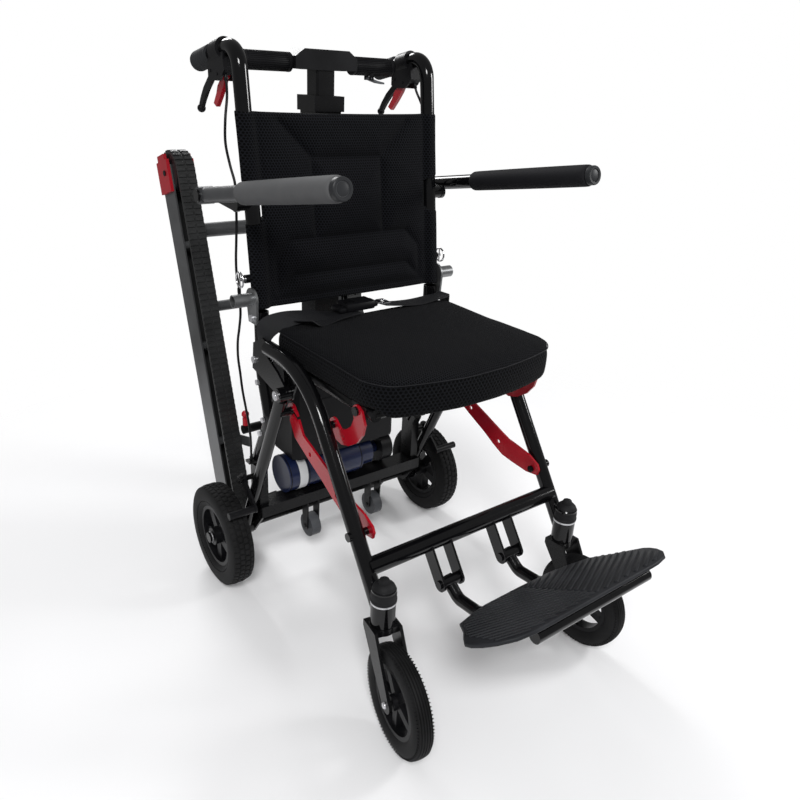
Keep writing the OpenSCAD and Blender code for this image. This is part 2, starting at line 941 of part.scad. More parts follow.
// Footrest hanger and tubes
module footrest_frame() {
    up = [cos(foot_tilt), sin(foot_tilt)];
    low = foot_base + 2 * up - (foot_t + foot_d / 2 + 0.1) * [-sin(foot_tilt), cos(foot_tilt)];
    color("#1a1a1c") {
        pair()
            difference() {
                union() {
                    side_bar([foot_pivot + [-10, 2], [474, 180], low, low + 172 * up], foot_d, 22, foot_x);
                    lateral(foot_pivot, foot_x - foot_d / 2 - 6.7, foot_x + foot_d / 2 + 6.7, 9);
                }
                lateral(foot_pivot, foot_x - 30, foot_x + 30, 4 + fit);
            }
        lateral(low + 176 * up, -118, 118, foot_d / 2);
    }
}

// Footplate with its rounded outline and chevron ribs
module footplate() {
    half = [[0, 27], [70, 29], [100, 37], [140, 53], [160, 86], [178, 108], [190, 125], [191, 138], [186, 155],
        [175, 173], [155, 190], [130, 197], [115, 198], [0, 198]];
    outline = concat(half, [for (i = [len(half) - 2 : -1 : 1]) [-half[i][0], half[i][1]]]);
    color("#3a3b3d")
        translate(at(0, foot_base))
            rotate([-foot_tilt, 0, 0])
                mirror([0, 1, 0])
                    difference() {
                        translate([0, 0, -foot_t])
                            linear_extrude(height = foot_t)
                                polygon(outline);
                        for (k = [0 : 7], s = [-1, 1])
                            translate([s * 4, 52 + k * 16, 0])
                                rotate([0, 0, s > 0 ? -30 : 210])
                                    translate([0, -1, -0.8])
                                        cube([min(120, 60 + 12 * k), 2, 2]);
                    }
}

// Seat rails with cross tubes, rear ears and side brackets
module seat_frame() {
    r = rail_d / 2;
    rear = [80, seat_pivot[1]];
    front = [rail_front, seat_pivot[1]];
    color("#5a5c60")
        difference() {
            union() {
                pair() {
                    side_bar([rear, front], rail_d, 10, rail_x);
                    side_plate(link_x - 5, 5 - gap)
                        union() {
                            dot(hook_high, 10.5);
                            polygon(sps([[327, 471], [359, 471], [362, 490], [324, 490]]));
                        }
                    lateral(hook_high, rail_x, link_x + link_t + gap, stud_d / 2);
                    lateral(hook_high, link_x + link_t + gap, link_x + link_t + 3.5, stud_d / 2 + 4);
                    side_plate(172, link_x - 172 + 2)
                        dot(seat_pivot, 10);
                }
                for (a = [118, rail_front - 8])
                    lateral([a, seat_pivot[1]], -rail_x, rail_x, r - 1);
            }
            pair()
                lateral(seat_pivot, 150, 190, pivot_d / 2 + fit);
            pair()
                lateral(seat_pivot, 150, 171, pivot_d / 2 + 3 + gap);
        }
}

// Seat cushion: a crowned block with drawn-in sides
function cushion_end(x) = cushion_front + cushion_bow * (1 - pow(x / seat_half_w, 2));
function crown(x, a) = cushion_crown * (1 - pow(x / seat_half_w, 4)) * (1 - pow((a - 250) / 190, 4));
function cushion_pt(u, a0, z, inset) =
    let (x = (seat_half_w - inset) * sin(90 * u), e = cushion_end(x) - inset)
        [x, axle_y - (cushion_rear + inset + (e - cushion_rear - inset) * a0), z];
module seat_cushion() {
    nx = 16;
    ny = 14;
    rim = [[0, 2.2], [0.12, 0.4], [0.45, 1.6], [0.88, 0], [1, 1.8]];
    row = nx + 1;
    grid = row * (ny + 1);
    function px(i) = (i / nx) * 2 - 1;
    top = [for (j = [0 : ny], i = [0 : nx])
        let (p = cushion_pt(px(i), j / ny, 0, 4)) [p[0], p[1], cushion_side + crown(p[0], axle_y - p[1])]];
    low = [for (j = [0 : ny], i = [0 : nx]) cushion_pt(px(i), j / ny, cushion_low, 3)];
    edge = concat([for (i = [0 : nx - 1]) [px(i), 0]], [for (j = [0 : ny - 1]) [1, j / ny]],
        [for (i = [nx : -1 : 1]) [px(i), 1]], [for (j = [ny : -1 : 1]) [-1, j / ny]]);
    m = len(edge);
    side = [for (q = rim, e = edge) cushion_pt(e[0], e[1], cushion_low + 2 + (cushion_t - 5) * q[0], q[1])];
    function ring(k, base) = k < nx ? base + k : (k < nx + ny ? base + (k - nx) * row + nx
        : (k < 2 * nx + ny ? base + ny * row + nx - (k - nx - ny) : base + (2 * nx + 2 * ny - k) * row));
    s0 = 2 * grid;
    function sid(q, k) = s0 + q * m + k % m;
    color("#4b4e53")
        polyhedron(points = concat(top, low, side), faces = concat(
            [for (j = [0 : ny - 1], i = [0 : nx - 1]) [j * row + i, j * row + i + 1, (j + 1) * row + i]],
            [for (j = [0 : ny - 1], i = [0 : nx - 1])
                [j * row + i + 1, (j + 1) * row + i + 1, (j + 1) * row + i]],
            [for (j = [0 : ny - 1], i = [0 : nx - 1])
                [grid + j * row + i, grid + (j + 1) * row + i, grid + j * row + i + 1]],
            [for (j = [0 : ny - 1], i = [0 : nx - 1])
                [grid + j * row + i + 1, grid + (j + 1) * row + i, grid + (j + 1) * row + i + 1]],
            [for (q = [0 : 3], k = [0 : m - 1]) [sid(q, k), sid(q, k + 1), sid(q + 1, k)]],
            [for (q = [0 : 3], k = [0 : m - 1]) [sid(q, k + 1), sid(q + 1, k + 1), sid(q + 1, k)]],
            [for (k = [0 : m - 1]) [sid(4, k), sid(4, k + 1), ring(k, 0)]],
            [for (k = [0 : m - 1]) [sid(4, k + 1), ring((k + 1) % m, 0), ring(k, 0)]],
            [for (k = [0 : m - 1]) [ring(k, grid), ring((k + 1) % m, grid), sid(0, k)]],
            [for (k = [0 : m - 1]) [ring((k + 1) % m, grid), sid(0, k + 1), sid(0, k)]]));
}

// Belt webbing over the rear of the cushion, with its buckle
belt_mid = cushion_rear + 6 + belt_w / 2;
module seat_belt() {
    n = 24;
    x1 = seat_half_w - 4;
    function bz(x) = cushion_side + crown(x, belt_mid + belt_w / 2) + 0.4;
    top = cushion_side + cushion_crown + 0.4;
    color("#161617")
        difference() {
            union() {
                rotate([90, 0, 0])
                    translate([0, 0, belt_mid - belt_w / 2 - axle_y])
                        linear_extrude(height = belt_w)
                            polygon(concat([for (i = [0 : n]) let (x = x1 * (2 * i / n - 1)) [x, bz(x)]],
                                [for (i = [n : -1 : 0]) let (x = x1 * (2 * i / n - 1)) [x, bz(x) + 2.2]]));
                translate([-36, axle_y - belt_mid - 13, top])
                    cube([62, 26, 12]);
            }
            translate([-11, axle_y - belt_mid - 6, top + 8])
                cube([12, 12, 10]);
        }
}

// Release button of the buckle
module buckle_button() {
    color("#b3141b")
        translate([-11 + gap, axle_y - belt_mid - 6 + gap, top_button() - 3])
            cube([12 - 2 * gap, 12 - 2 * gap, 4.5]);
}
function top_button() = cushion_side + cushion_crown + 0.4 + 12;

// Upper canes with the armrest brackets and pin bosses
module back_canes() {
    up = unit(grip_corner - hinge);
    tail = grip_corner - 144 * [cos(grip_tilt), sin(grip_tilt)];
    color("#151517")
        pair()
            difference() {
                union() {
                    side_tube([hinge + 34 * up, grip_corner, tail], cane_d, 34, cane_x);
                    side_bar([hinge + 16 * up, hinge + 37 * up], cane_d + 2 * swell, 10, cane_x);
                    side_plate(cane_x - 8, 16)
                        union() {
                            dot(hinge, 11);
                            strip(hinge, hinge + 26 * up, 17);
                        }
                    lateral([38, 727], cane_x, 214, 11);
                    side_plate(207, 7)
                        union() {
                            strip([38, 727], arm_pivot, 22);
                            dot([38, 727], 12);
                            dot(arm_pivot, 13);
                        }
                    lateral(arm_pivot, 207, arm_x + arm_d / 2 + 4, 6);
                    lateral(arm_pivot, arm_x + arm_d / 2 + gap, arm_x + arm_d / 2 + 4, 10);
                    lateral([46, 607], cane_x + 4, band_x + 9, 7);
                }
                lateral(hinge, 150, 220, 5 + fit);
                lateral([46, 607], band_x + 1, 240, 3 + fit);
            }
}

// Padded backrest between the canes, with sleeves round them
back_low = 557;
back_high = 866;
function back_a(z) = hinge[0] - (z - hinge[1]) * tan(back_lean);
module backrest() {
    w = cane_x - cane_d / 2 - 3.2;
    nx = 14;
    nz = 16;
    row = nx + 1;
    grid = row * (nz + 1);
    function bx(i) = w * sin(90 * (2 * i / nx - 1));
    function bz(j) = back_low + (back_high - back_low) * j / nz;
    function puff(i, j) = (back_t / 2) * (0.42 + 0.58 * pow(max(0, 1 - pow(abs(bx(i) / w), 5)), 0.5)
        * pow(max(0, 1 - pow(abs(2 * j / nz - 1), 6)), 0.5)) - (j == 2 || j == 4 ? 2.2 : 0);
    pts = concat(
        [for (j = [0 : nz], i = [0 : nx]) [bx(i), axle_y - back_a(bz(j)) - puff(i, j), bz(j)]],
        [for (j = [0 : nz], i = [0 : nx]) [bx(i), axle_y - back_a(bz(j)) + puff(i, j) * 0.7, bz(j)]]);
    edge = concat([for (i = [0 : nx - 1]) i], [for (j = [0 : nz - 1]) j * row + nx],
        [for (i = [nx : -1 : 1]) nz * row + i], [for (j = [nz : -1 : 1]) j * row]);
    m = len(edge);
    color("#3d4043") {
        polyhedron(points = pts, faces = concat(
            [for (j = [0 : nz - 1], i = [0 : nx - 1]) [j * row + i, (j + 1) * row + i, j * row + i + 1]],
            [for (j = [0 : nz - 1], i = [0 : nx - 1]) [j * row + i + 1, (j + 1) * row + i, (j + 1) * row + i + 1]],
            [for (j = [0 : nz - 1], i = [0 : nx - 1])
                [grid + j * row + i, grid + j * row + i + 1, grid + (j + 1) * row + i]],
            [for (j = [0 : nz - 1], i = [0 : nx - 1])
                [grid + j * row + i + 1, grid + (j + 1) * row + i + 1, grid + (j + 1) * row + i]],
            [for (k = [0 : m - 1]) [edge[k], edge[(k + 1) % m], grid + edge[k]]],
            [for (k = [0 : m - 1]) [edge[(k + 1) % m], grid + edge[(k + 1) % m], grid + edge[k]]]));
        for (part = [[628, 700], [754, 866]])
            pair()
                difference() {
                    side_bar([[back_a(part[0]), part[0]], [back_a(part[1]), part[1]]], cane_d + 5, 10, cane_x);
                    side_bar([[back_a(590), 590], [back_a(890), 890]], cane_d + 0.4, 10, cane_x);
                }
    }
}

// Push grips
module push_grips() {
    way = [cos(grip_tilt), sin(grip_tilt)];
    color("#2b2c2e")
        pair()
            difference() {
                side_bar([grip_corner - 92 * way, grip_corner - 152 * way], grip_d, 10, cane_x);
                side_bar([grip_corner - 60 * way, grip_corner - 144 * way], cane_d, 10, cane_x);
            }
}

// Lever housings clamped on the canes
module brake_perches() {
    way = [cos(grip_tilt), sin(grip_tilt)];
    color("#1d1d1f")
        pair()
            difference() {
                union() {
                    side_bar([grip_corner - 44 * way, grip_corner - 74 * way], cane_d + 10, 10, cane_x);
                    for (x = [cane_x - 12, cane_x + 8.5])
                        side_plate(x, 3.5)
                            polygon(sps([[-20, 946], [-74, 940], [-79, 930], [-79, 908], [-70, 904], [-38, 904],
                                [-26, 912]]));
                    side_plate(cane_x - 12, 24)
                        polygon(sps([[-24, 944], [-72, 938], [-72, 929], [-28, 929]]));
                    side_plate(cane_x - 12, 24)
                        polygon(sps([[-24, 944], [-32, 929], [-34, 918], [-26, 913], [-18, 920]]));
                    lateral(lever_pivot, cane_x - 13, cane_x + 13, 2.5);
                    lateral(lock_pivot, cane_x - 13, cane_x + 13, 2.5);
                }
                side_bar([grip_corner - 20 * way, grip_corner - 100 * way], cane_d + 2 * fit, 10, cane_x);
                side_bar([grip_corner, [back_a(860), 860]], cane_d + 1, 10, cane_x);
            }
}

// Upper brake cables, from the lever housings to the hinge
high_cable = [[188, -28, 912.9], [189, -24, 900], [194, -14, 880], [202, -6, 850], [205, -3, 815],
    [203, 6, 782], [202, 18, 758], [202, 20, 735], [203, 21, 700], [205, 21, 665], [206, 19, 635],
    [206, 19, 610], [205, 23, 590], [205, 24, 578]];
module back_cables() {
    color("#0d0d0e")
        pair()
            cord(smooth([for (q = high_cable) at(q[0], [q[1], q[2]])], 2), 2.2);
}

// Armrest tube with its pivot eye
arm_way = [cos(arm_slope), sin(arm_slope)];
module armrest_tube_left() {
    color("#141416")
        difference() {
            union() {
                side_bar([arm_pivot, arm_pivot + (142 + pad_len) * arm_way], arm_d, 10, arm_x);
                lateral(arm_pivot, arm_x - arm_d / 2, arm_x + arm_d / 2, 14);
                side_bar([arm_pivot + (142 + pad_len) * arm_way, arm_pivot + (150 + pad_len) * arm_way],
                    arm_d + 3, 10, arm_x);
            }
            lateral(arm_pivot, 200, 260, 6 + fit);
            side_bar([arm_pivot + 24 * arm_way, arm_pivot + (140 + pad_len) * arm_way], arm_d - 2 * tube_wall, 10, arm_x);
        }
}
module armrest_tube_right() {
    to_right()
        armrest_tube_left();
}
module armrest_pad_left() {
    color("#1d1e20")
        difference() {
            side_bar([arm_pivot + 141 * arm_way, arm_pivot + (141 + pad_len) * arm_way], pad_d, 10, arm_x);
            side_bar([arm_pivot + 130 * arm_way, arm_pivot + (150 + pad_len) * arm_way], arm_d, 10, arm_x);
        }
}
module armrest_pad_right() {
    to_right()
        armrest_pad_left();
}

// Brake lever with its ball end
module brake_lever_left() {
    color("#2f3032")
        difference() {
            union() {
                side_plate(cane_x + 1, 6)
                    union() {
                        dot(lever_pivot, 7);
                        polygon(sps([[-64, 914], [-72, 924], [-92, 908], [-112, 892], [-126, 876], [-134, 864],
                            [-124, 860], [-114, 872], [-98, 888], [-80, 902]]));
                    }
                translate(at(cane_x + 4, [-131, 859]))
                    sphere(r = 7);
            }
            lateral(lever_pivot, 150, 220, 2.5 + fit);
        }
}
module brake_lever_right() {
    to_right()
        brake_lever_left();
}

// Red lock lever
module lock_lever_left() {
    color("#b3141b")
        difference() {
            side_plate(cane_x - 8, 7)
                union() {
                    dot(lock_pivot, 7);
                    polygon(sps([[-43, 910], [-49, 917], [-74, 896], [-80, 884], [-92, 869], [-82, 864],
                        [-66, 880], [-52, 896]]));
                }
            lateral(lock_pivot, 150, 220, 2.5 + fit);
        }
}
module lock_lever_right() {
    to_right()
        lock_lever_left();
}

// Square stem of the lifting handle
module handle_stem() {
    color("#1a1a1c")
        difference() {
            translate([-stem_w / 2, axle_y + 53 - stem_w / 2, 560])
                cube([stem_w, stem_w, bar_z - 10 - 560]);
            translate([-stem_w / 2 + tube_wall, axle_y + 53 - stem_w / 2 + tube_wall, 550])
                cube([stem_w - 2 * tube_wall, stem_w - 2 * tube_wall, bar_z - 20 - 550]);
            for (sx = [-1, 1], sy = [-1, 1])
                translate([sx * stem_w / 2, axle_y + 53 + sy * stem_w / 2, 700])
                    rotate([0, 0, 45])
                        cube([5, 5, 600], center = true);
        }
}

// Grips on the cross bar
module handle_grips() {
    p = [-53, bar_z];
    color("#232426") {
        difference() {
            union() {
                pair()
                    lateral(p, 61, 150, bar_grip_d / 2);
                for (s = [-1, 1])
                    translate([97, axle_y + 53 + (s > 0 ? 6.5 : -9.5), bar_z - bar_grip_d / 2 - 7])
                        cube([9, 3, 16]);
            }
            lateral(p, -140, 140, 9);
            translate([101, axle_y + 53, bar_z - bar_grip_d / 2 - 3.6])
                rotate([90, 0, 0])
                    cylinder(h = 30, r = 1.5, center = true);
        }
    }
}

// Bevelled head with the cross bar
module handle_head() {
    color("#222325") {
        translate([0, axle_y + 53 + 22, bar_z])
            rotate([90, 0, 0])
                linear_extrude(height = 44)
                    polygon([[-61, -9], [-61, 10], [-44, 22], [44, 22], [61, 10], [61, -9], [28, -10], [-28, -10]]);
        pair()
            lateral([-53, bar_z], 60, 140, 9);
    }
}

// Trigger under the left grip
module drive_trigger() {
    z0 = bar_z - bar_grip_d / 2 - 3.6;
    color("#5b5d60")
        translate([101, axle_y + 53, z0])
            rotate([90, 0, 0]) {
                cylinder(h = 12, r = 3, center = true);
                cylinder(h = 19, r = 1.5 - fit, center = true);
                translate([0, 0, -6])
                    linear_extrude(height = 12)
                        polygon([[0, -3], [2, 0.6], [16, -3.4], [31, -6], [31, -9], [16, -7.4]]);
            }
}

// Pull pin with its ring at the back hinge
module ring_pin_left() {
    color("#c9ccd0")
        translate(at(0, [46, 607])) {
            translate([band_x + 1.5, 0, 0])
                rotate([0, 90, 0])
                    cylinder(h = 17, r = 3);
            translate([band_x + 18, 0, 0])
                rotate([0, 90, 0])
                    rotate_extrude()
                        translate([12.5, 0])
                            circle(r = 1.6, $fn = 24);
            translate([band_x + 16.8, 0, -12])
                cube([1.7, 2, 24]);
        }
}
module ring_pin_right() {
    to_right()
        ring_pin_left();
}

rear_legs();
lower_canes();
hinge_brackets();
undercarriage();
drive_motor();
drive_case();
battery_case();
handle_post();
frame_bolts();
brake_cables();
track_rails();
track_belts();
end_caps();
drive_shaft();
track_idlers();
release_knob_right();
release_knob_left();
rear_tyre_right();
rear_tyre_left();
rear_hub_right();
rear_hub_left();
guide_wheel_right();
guide_wheel_left();
brake_arm_right();
brake_arm_left();
front_legs();
front_cross_tube();
caster_fork_right();
caster_fork_left();
front_tyre_right();
front_tyre_left();
front_hub_right();
front_hub_left();
fold_braces();
hook_links();
footrest_frame();
footplate();
seat_frame();
seat_cushion();
seat_belt();
buckle_button();
back_canes();
backrest();
push_grips();
brake_perches();
back_cables();
armrest_tube_right();
armrest_tube_left();
armrest_pad_right();
armrest_pad_left();
brake_lever_right();
brake_lever_left();
lock_lever_right();
lock_lever_left();
handle_stem();
handle_grips();
handle_head();
drive_trigger();
ring_pin_right();
ring_pin_left();
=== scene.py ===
# %% [markdown]
# # A stair climbing wheelchair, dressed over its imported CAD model
# The CAD model already has every tube, plate, wheel and pin at its real size.
# This lesson loads it as a fixed frame, gives each surface a finish, and models
# what a solid modeller can't: the padded cushion and backrest, the woven belt,
# the treaded tyres, the ribbed track belts and the soft grips.

# %% Load the frame
import json
import math

import bmesh
import bpy
from mathutils import Matrix, Vector, noise
from mathutils.bvhtree import BVHTree

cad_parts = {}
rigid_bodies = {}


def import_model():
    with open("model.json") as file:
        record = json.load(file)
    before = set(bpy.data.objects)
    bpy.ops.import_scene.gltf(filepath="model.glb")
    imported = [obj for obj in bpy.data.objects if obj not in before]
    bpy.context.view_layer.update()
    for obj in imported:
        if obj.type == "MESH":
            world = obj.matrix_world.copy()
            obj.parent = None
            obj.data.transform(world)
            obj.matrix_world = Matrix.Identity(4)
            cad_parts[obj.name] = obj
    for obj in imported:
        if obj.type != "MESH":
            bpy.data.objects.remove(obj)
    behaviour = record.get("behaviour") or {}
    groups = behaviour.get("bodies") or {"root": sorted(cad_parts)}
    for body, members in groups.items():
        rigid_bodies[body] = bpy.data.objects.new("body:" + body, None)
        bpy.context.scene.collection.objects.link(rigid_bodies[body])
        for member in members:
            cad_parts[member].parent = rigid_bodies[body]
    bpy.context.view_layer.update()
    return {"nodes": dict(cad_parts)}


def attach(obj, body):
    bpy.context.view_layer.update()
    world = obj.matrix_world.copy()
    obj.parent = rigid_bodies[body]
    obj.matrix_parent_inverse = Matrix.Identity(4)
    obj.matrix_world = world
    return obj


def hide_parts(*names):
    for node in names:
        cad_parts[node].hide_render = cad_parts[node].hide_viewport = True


for spare in list(bpy.data.objects):
    bpy.data.objects.remove(spare)
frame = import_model()

# %% [markdown]
# ## Places in millimetres
# The drawing of the chair counts millimetres to the left, ahead of the rear
# axle and up from the floor. One helper turns such a place into the scene's
# metres, so that every piece below can use the numbers of the drawing.

# %% Places
MM = 0.001
AXLE_Y = 167.5


def spot(x, ahead, z):
    """A point in metres from millimetres to the left, ahead of the axle and up."""
    return Vector((x, AXLE_Y - ahead, z)) * MM


def show(name, data):
    """A new object with data, linked into the scene."""
    made = bpy.data.objects.new(name, data)
    bpy.context.scene.collection.objects.link(made)
    return made


def turn_by(degrees, axis):
    """A turn of a bmesh's points about one of the scene's axes."""
    return Matrix.Rotation(math.radians(degrees), 3, axis)


print("rear axle at", tuple(spot(0, 0, 100)))

# %% [markdown]
# ## Camera
# A product photograph of a chair is taken from the height of a standing
# person's chest, a little to one side. The camera below stands where that view
# was found by matching known corners of the frame, and it has a slight roll.

# %% Camera
SENSOR = 36.0
LENS = 32.80
CAMERA_ROLL = math.radians(2.98)


def place_camera(eye, aim, roll, lens):
    """Adds the camera at eye, looking at aim, turned about its own axis by roll."""
    forward = (aim - eye).normalized()
    right = forward.cross(Vector((0, 0, 1))).normalized()
    up = right.cross(forward)
    side = right * math.cos(roll) + up * math.sin(roll)
    top = up * math.cos(roll) - right * math.sin(roll)
    data = bpy.data.cameras.new("camera")
    data.sensor_width = SENSOR
    data.lens = lens
    camera = show("camera", data)
    turn = Matrix((side, top, -forward)).transposed().to_4x4()
    camera.matrix_world = Matrix.Translation(eye) @ turn
    bpy.context.scene.camera = camera
    return camera


camera = place_camera(Vector((-0.7212, -0.9627, 0.9238)), Vector((-0.029, -0.0845, 0.428)),
                      CAMERA_ROLL, LENS)
print("camera", tuple(round(c, 3) for c in camera.location))

# %% [markdown]
# ## Shader maths as Python
# A material is a graph of nodes. Writing it as arithmetic is easier to read, so
# one small class holds a socket, and its operators add Math nodes. Its `node`
# method makes every other kind: settings go on first, then values or links.


# %% A socket with operators
class Wire:
    """A socket of a material's graph that Python's operators can work on."""

    def __init__(self, tree, socket):
        self.tree = tree
        self.socket = socket

    def node(self, kind, settings=None, inputs=None, out=0):
        made = self.tree.nodes.new(kind)
        for key, value in (settings or {}).items():
            setattr(made, key, value)
        for key, value in (inputs or {}).items():
            put(self.tree, value, made.inputs[key])
        return Wire(self.tree, made.outputs[out])

    def math(self, operation, first, second=0.0, third=0.0):
        return self.node("ShaderNodeMath", {"operation": operation}, {0: first, 1: second, 2: third})

    def floor(self):
        return self.math("FLOOR", self)

    def fract(self):
        return self.math("FRACT", self)

    def step(self, low, high):
        """0 below low, 1 above high, and smooth between them."""
        return self.node("ShaderNodeMapRange", {"interpolation_type": "SMOOTHSTEP"},
                         {"Value": self, "From Min": low, "From Max": high})

    def split(self):
        """The x, y and z of a vector."""
        parts = self.tree.nodes.new("ShaderNodeSeparateXYZ")
        put(self.tree, self, parts.inputs[0])
        return [Wire(self.tree, out) for out in parts.outputs]

    def noise(self, scale, detail=2.0):
        return self.node("ShaderNodeTexNoise", None, {"Vector": self, "Scale": scale, "Detail": detail})

    def stretch(self, scale):
        """The place with each axis scaled by its own number."""
        return self.node("ShaderNodeMapping", None, {"Vector": self, "Scale": scale})

    def tint(self, dark, light):
        """A colour from dark, where the wire is 0, to light, where it is 1."""
        return self.node("ShaderNodeMix", {"data_type": "RGBA"}, {0: self, 6: rgba(dark), 7: rgba(light)}, 2)

    def bump(self, depth):
        """A normal from the wire as a height of depth metres."""
        return self.node("ShaderNodeBump", None, {"Height": self, "Distance": depth, "Strength": 1.0})


def operator(operation, swapped):
    """A method for Wire that adds one Math node; swapped puts the other value first."""
    if swapped:
        return lambda wire, other: wire.math(operation, other, wire)
    return lambda wire, other: wire.math(operation, wire, other)


for method, operation in (("add", "ADD"), ("sub", "SUBTRACT"), ("mul", "MULTIPLY")):
    setattr(Wire, "__" + method + "__", operator(operation, False))
    setattr(Wire, "__r" + method + "__", operator(operation, method == "sub"))
Wire.__truediv__ = operator("DIVIDE", False)
Wire.__pow__ = operator("POWER", False)


def put(tree, value, socket):
    """Links a wire to a socket, or sets the socket's own value."""
    if isinstance(value, Wire):
        tree.links.new(value.socket, socket)
    else:
        socket.default_value = value


def rgba(colour):
    return (*colour, 1.0)


print("shader class ready")

# %% [markdown]
# ## One function for every material
# Each finish is a short recipe: a function that gets the place on the piece and
# gives back what changes over the surface. Numbers that are the same all over,
# such as the sheen of a cloth, are set on the shader's own sockets.


# %% Material maker
def finish(name, recipe, uv=False, **fixed):
    """A material from a recipe; fixed holds the sockets that stay the same all over."""
    made = bpy.data.materials.new(name)
    made.use_nodes = True
    tree = made.node_tree
    shader = tree.nodes["Principled BSDF"]
    place = Wire(tree, tree.nodes.new("ShaderNodeTexCoord").outputs["UV" if uv else "Object"])
    for socket, value in recipe(place).items():
        put(tree, value, shader.inputs[socket])
    for socket, value in fixed.items():
        shader.inputs[socket.replace("_", " ")].default_value = value
    return made


def hard(colour, shine, metal=0.0, cloud=18.0, vary=0.25, smudge=0.06, grain=900.0, depth=0.00002, drag=None):
    """A recipe for paint, plastic or metal: cloudy colour, smudged gloss and a fine grain."""
    def recipe(place):
        patch = place.noise(cloud, 4.0)
        fine = (place.stretch(drag) if drag else place).noise(grain, 2.0)
        dark = [c * (1 - vary) for c in colour]
        light = [min(1.0, c * (1 + vary)) for c in colour]
        return {
            "Base Color": (patch * 0.7 + fine * 0.3).step(0.3, 0.7).tint(dark, light),
            "Roughness": patch * (2 * smudge) + fine * smudge + (shine - 1.5 * smudge),
            "Metallic": metal,
            "Normal": fine.bump(depth),
        }
    return recipe


def dull(name, recipe):
    """A finish that reflects little at its surface."""
    return finish(name, recipe, Specular_IOR_Level=DULL)


# %% [markdown]
# ## Hard finishes
# The tubes are powder coated in gloss black: deep colour, sharp reflections and
# a faint orange-peel ripple. Die-cast forks and clamps are satin. Bare metal is
# drawn, so its grain is stretched along one axis. Each recipe only changes the
# numbers, because the way light meets the surface is the same.

# %% Paints, plastics and metals
DULL = 0.17
gloss_black = finish("gloss_black_paint", hard((0.003, 0.003, 0.0035), 0.12, grain=420, depth=0.00003),
                     Specular_IOR_Level=0.3, Coat_Weight=0.1, Coat_Roughness=0.05)
satin_black = finish("satin_black_paint", hard((0.005, 0.005, 0.0055), 0.28, grain=700, depth=0.00002),
                     Specular_IOR_Level=0.26)
cast_black = dull("cast_black_plastic", hard((0.006, 0.006, 0.007), 0.4, grain=1500, depth=0.00005))
grey_alloy = finish("grey_aluminium", hard((0.10, 0.103, 0.11), 0.4, 0.8, grain=60, drag=(1, 25, 25)))
pale_alloy = finish("pale_aluminium", hard((0.26, 0.265, 0.27), 0.38, 0.85, grain=80, drag=(20, 20, 1)))
steel = finish("bright_steel", hard((0.6, 0.6, 0.62), 0.32, 0.8, grain=500, smudge=0.08))
chrome = finish("chrome_steel", hard((0.75, 0.75, 0.77), 0.1, 1.0, vary=0.1, grain=700, depth=0.00001))
navy = finish("navy_paint", hard((0.006, 0.012, 0.048), 0.3, grain=600), Specular_IOR_Level=0.4,
              Coat_Weight=0.2, Coat_Roughness=0.1)
white_band = finish("white_band", hard((0.62, 0.63, 0.64), 0.4, vary=0.06))
grey_plastic = finish("grey_plastic", hard((0.10, 0.105, 0.115), 0.5, grain=1300, depth=0.00004))
dark_plate = dull("footplate_plastic", hard((0.020, 0.021, 0.024), 0.5, grain=1100, depth=0.00006))
plate_plastic = dull("plate_plastic", hard((0.022, 0.023, 0.025), 0.4, grain=1300))
red_paint = finish("red_paint", hard((0.36, 0.005, 0.014), 0.22, vary=0.12, grain=420, depth=0.00003),
                   Specular_IOR_Level=0.4, Coat_Weight=0.25, Coat_Roughness=0.08)
red_plastic = finish("red_plastic", hard((0.36, 0.006, 0.015), 0.34, vary=0.12, grain=1200),
                     Specular_IOR_Level=0.35)
rubber = dull("black_rubber", hard((0.011, 0.011, 0.012), 0.6, grain=1700, depth=0.00008, vary=0.35))
# The track belt's rubber is about twice as light as the other black rubbers: partly the rubber's own colour, partly a
# painted sheen for the highlights along its ribs.
belt_rubber_painted_sheen = finish("belt_rubber_painted_sheen", hard((0.021, 0.0215, 0.022), 0.42, grain=1700, depth=0.00008, vary=0.35),
                     Specular_IOR_Level=0.4)
grip_rubber = dull("grip_rubber", hard((0.022, 0.023, 0.025), 0.66, grain=1900, depth=0.0001, vary=0.3))
tyre_rubber = dull("tyre_rubber", hard((0.008, 0.008, 0.0085), 0.66, cloud=30, grain=1300, depth=0.0001,
                                         vary=0.4))
guide_grey = finish("guide_wheel_grey", hard((0.055, 0.058, 0.064), 0.5, grain=1300), Specular_IOR_Level=0.3)
arm_grey = finish("arm_tube_grey", hard((0.06, 0.062, 0.066), 0.3, 0.4, grain=500))
rail_paint = finish("rail_paint", hard((0.085, 0.087, 0.09), 0.34, 0.5, grain=500, depth=0.00002))
cable_skin = dull("cable_skin", hard((0.008, 0.008, 0.009), 0.35, grain=1500))
print("hard finishes:", len(bpy.data.materials))

# %% [markdown]
# ## Cloth finishes
# The seat and back are covered in spacer mesh, a thick knit with rows of small
# holes. The holes lie in staggered rows, so the pattern is drawn by repeating a
# cell, shifting every other row by half a cell, and measuring the distance to
# the middle of it. It runs on the piece's own UV map, in millimetres of cloth,
# so that it turns round the corners of the cushion as real cloth does.


# %% Knits and webbing
def knit(pitch, hole, thread, gap, depth, stretch_rows=0.87):
    """A recipe for spacer mesh with holes pitch millimetres apart."""
    def recipe(place):
        across, along, _ = place.split()
        row = along / (pitch * stretch_rows)
        column = across / pitch + row.floor() * 0.5
        dx = column.fract() - 0.5
        dy = (row.fract() - 0.5) * stretch_rows
        away = (dx * dx + dy * dy) ** 0.5
        # Inside the holes the colour falls to gap, almost black: a painted shade at the bottom of each hole.
        yarn = away.step(hole * 0.62, hole)
        strand = (across * (9.0 / pitch) + along * (4.0 / pitch)).math("SINE", across * (9.0 / pitch) + along)
        fuzz = place.noise(0.35, 3.0)
        lit = yarn * (strand * 0.12 + fuzz * 0.5 + 0.55)
        return {
            "Base Color": lit.tint(gap, thread),
            "Roughness": yarn * 0.12 + 0.72,
            "Normal": (yarn + strand * 0.1).bump(depth),
        }
    return recipe


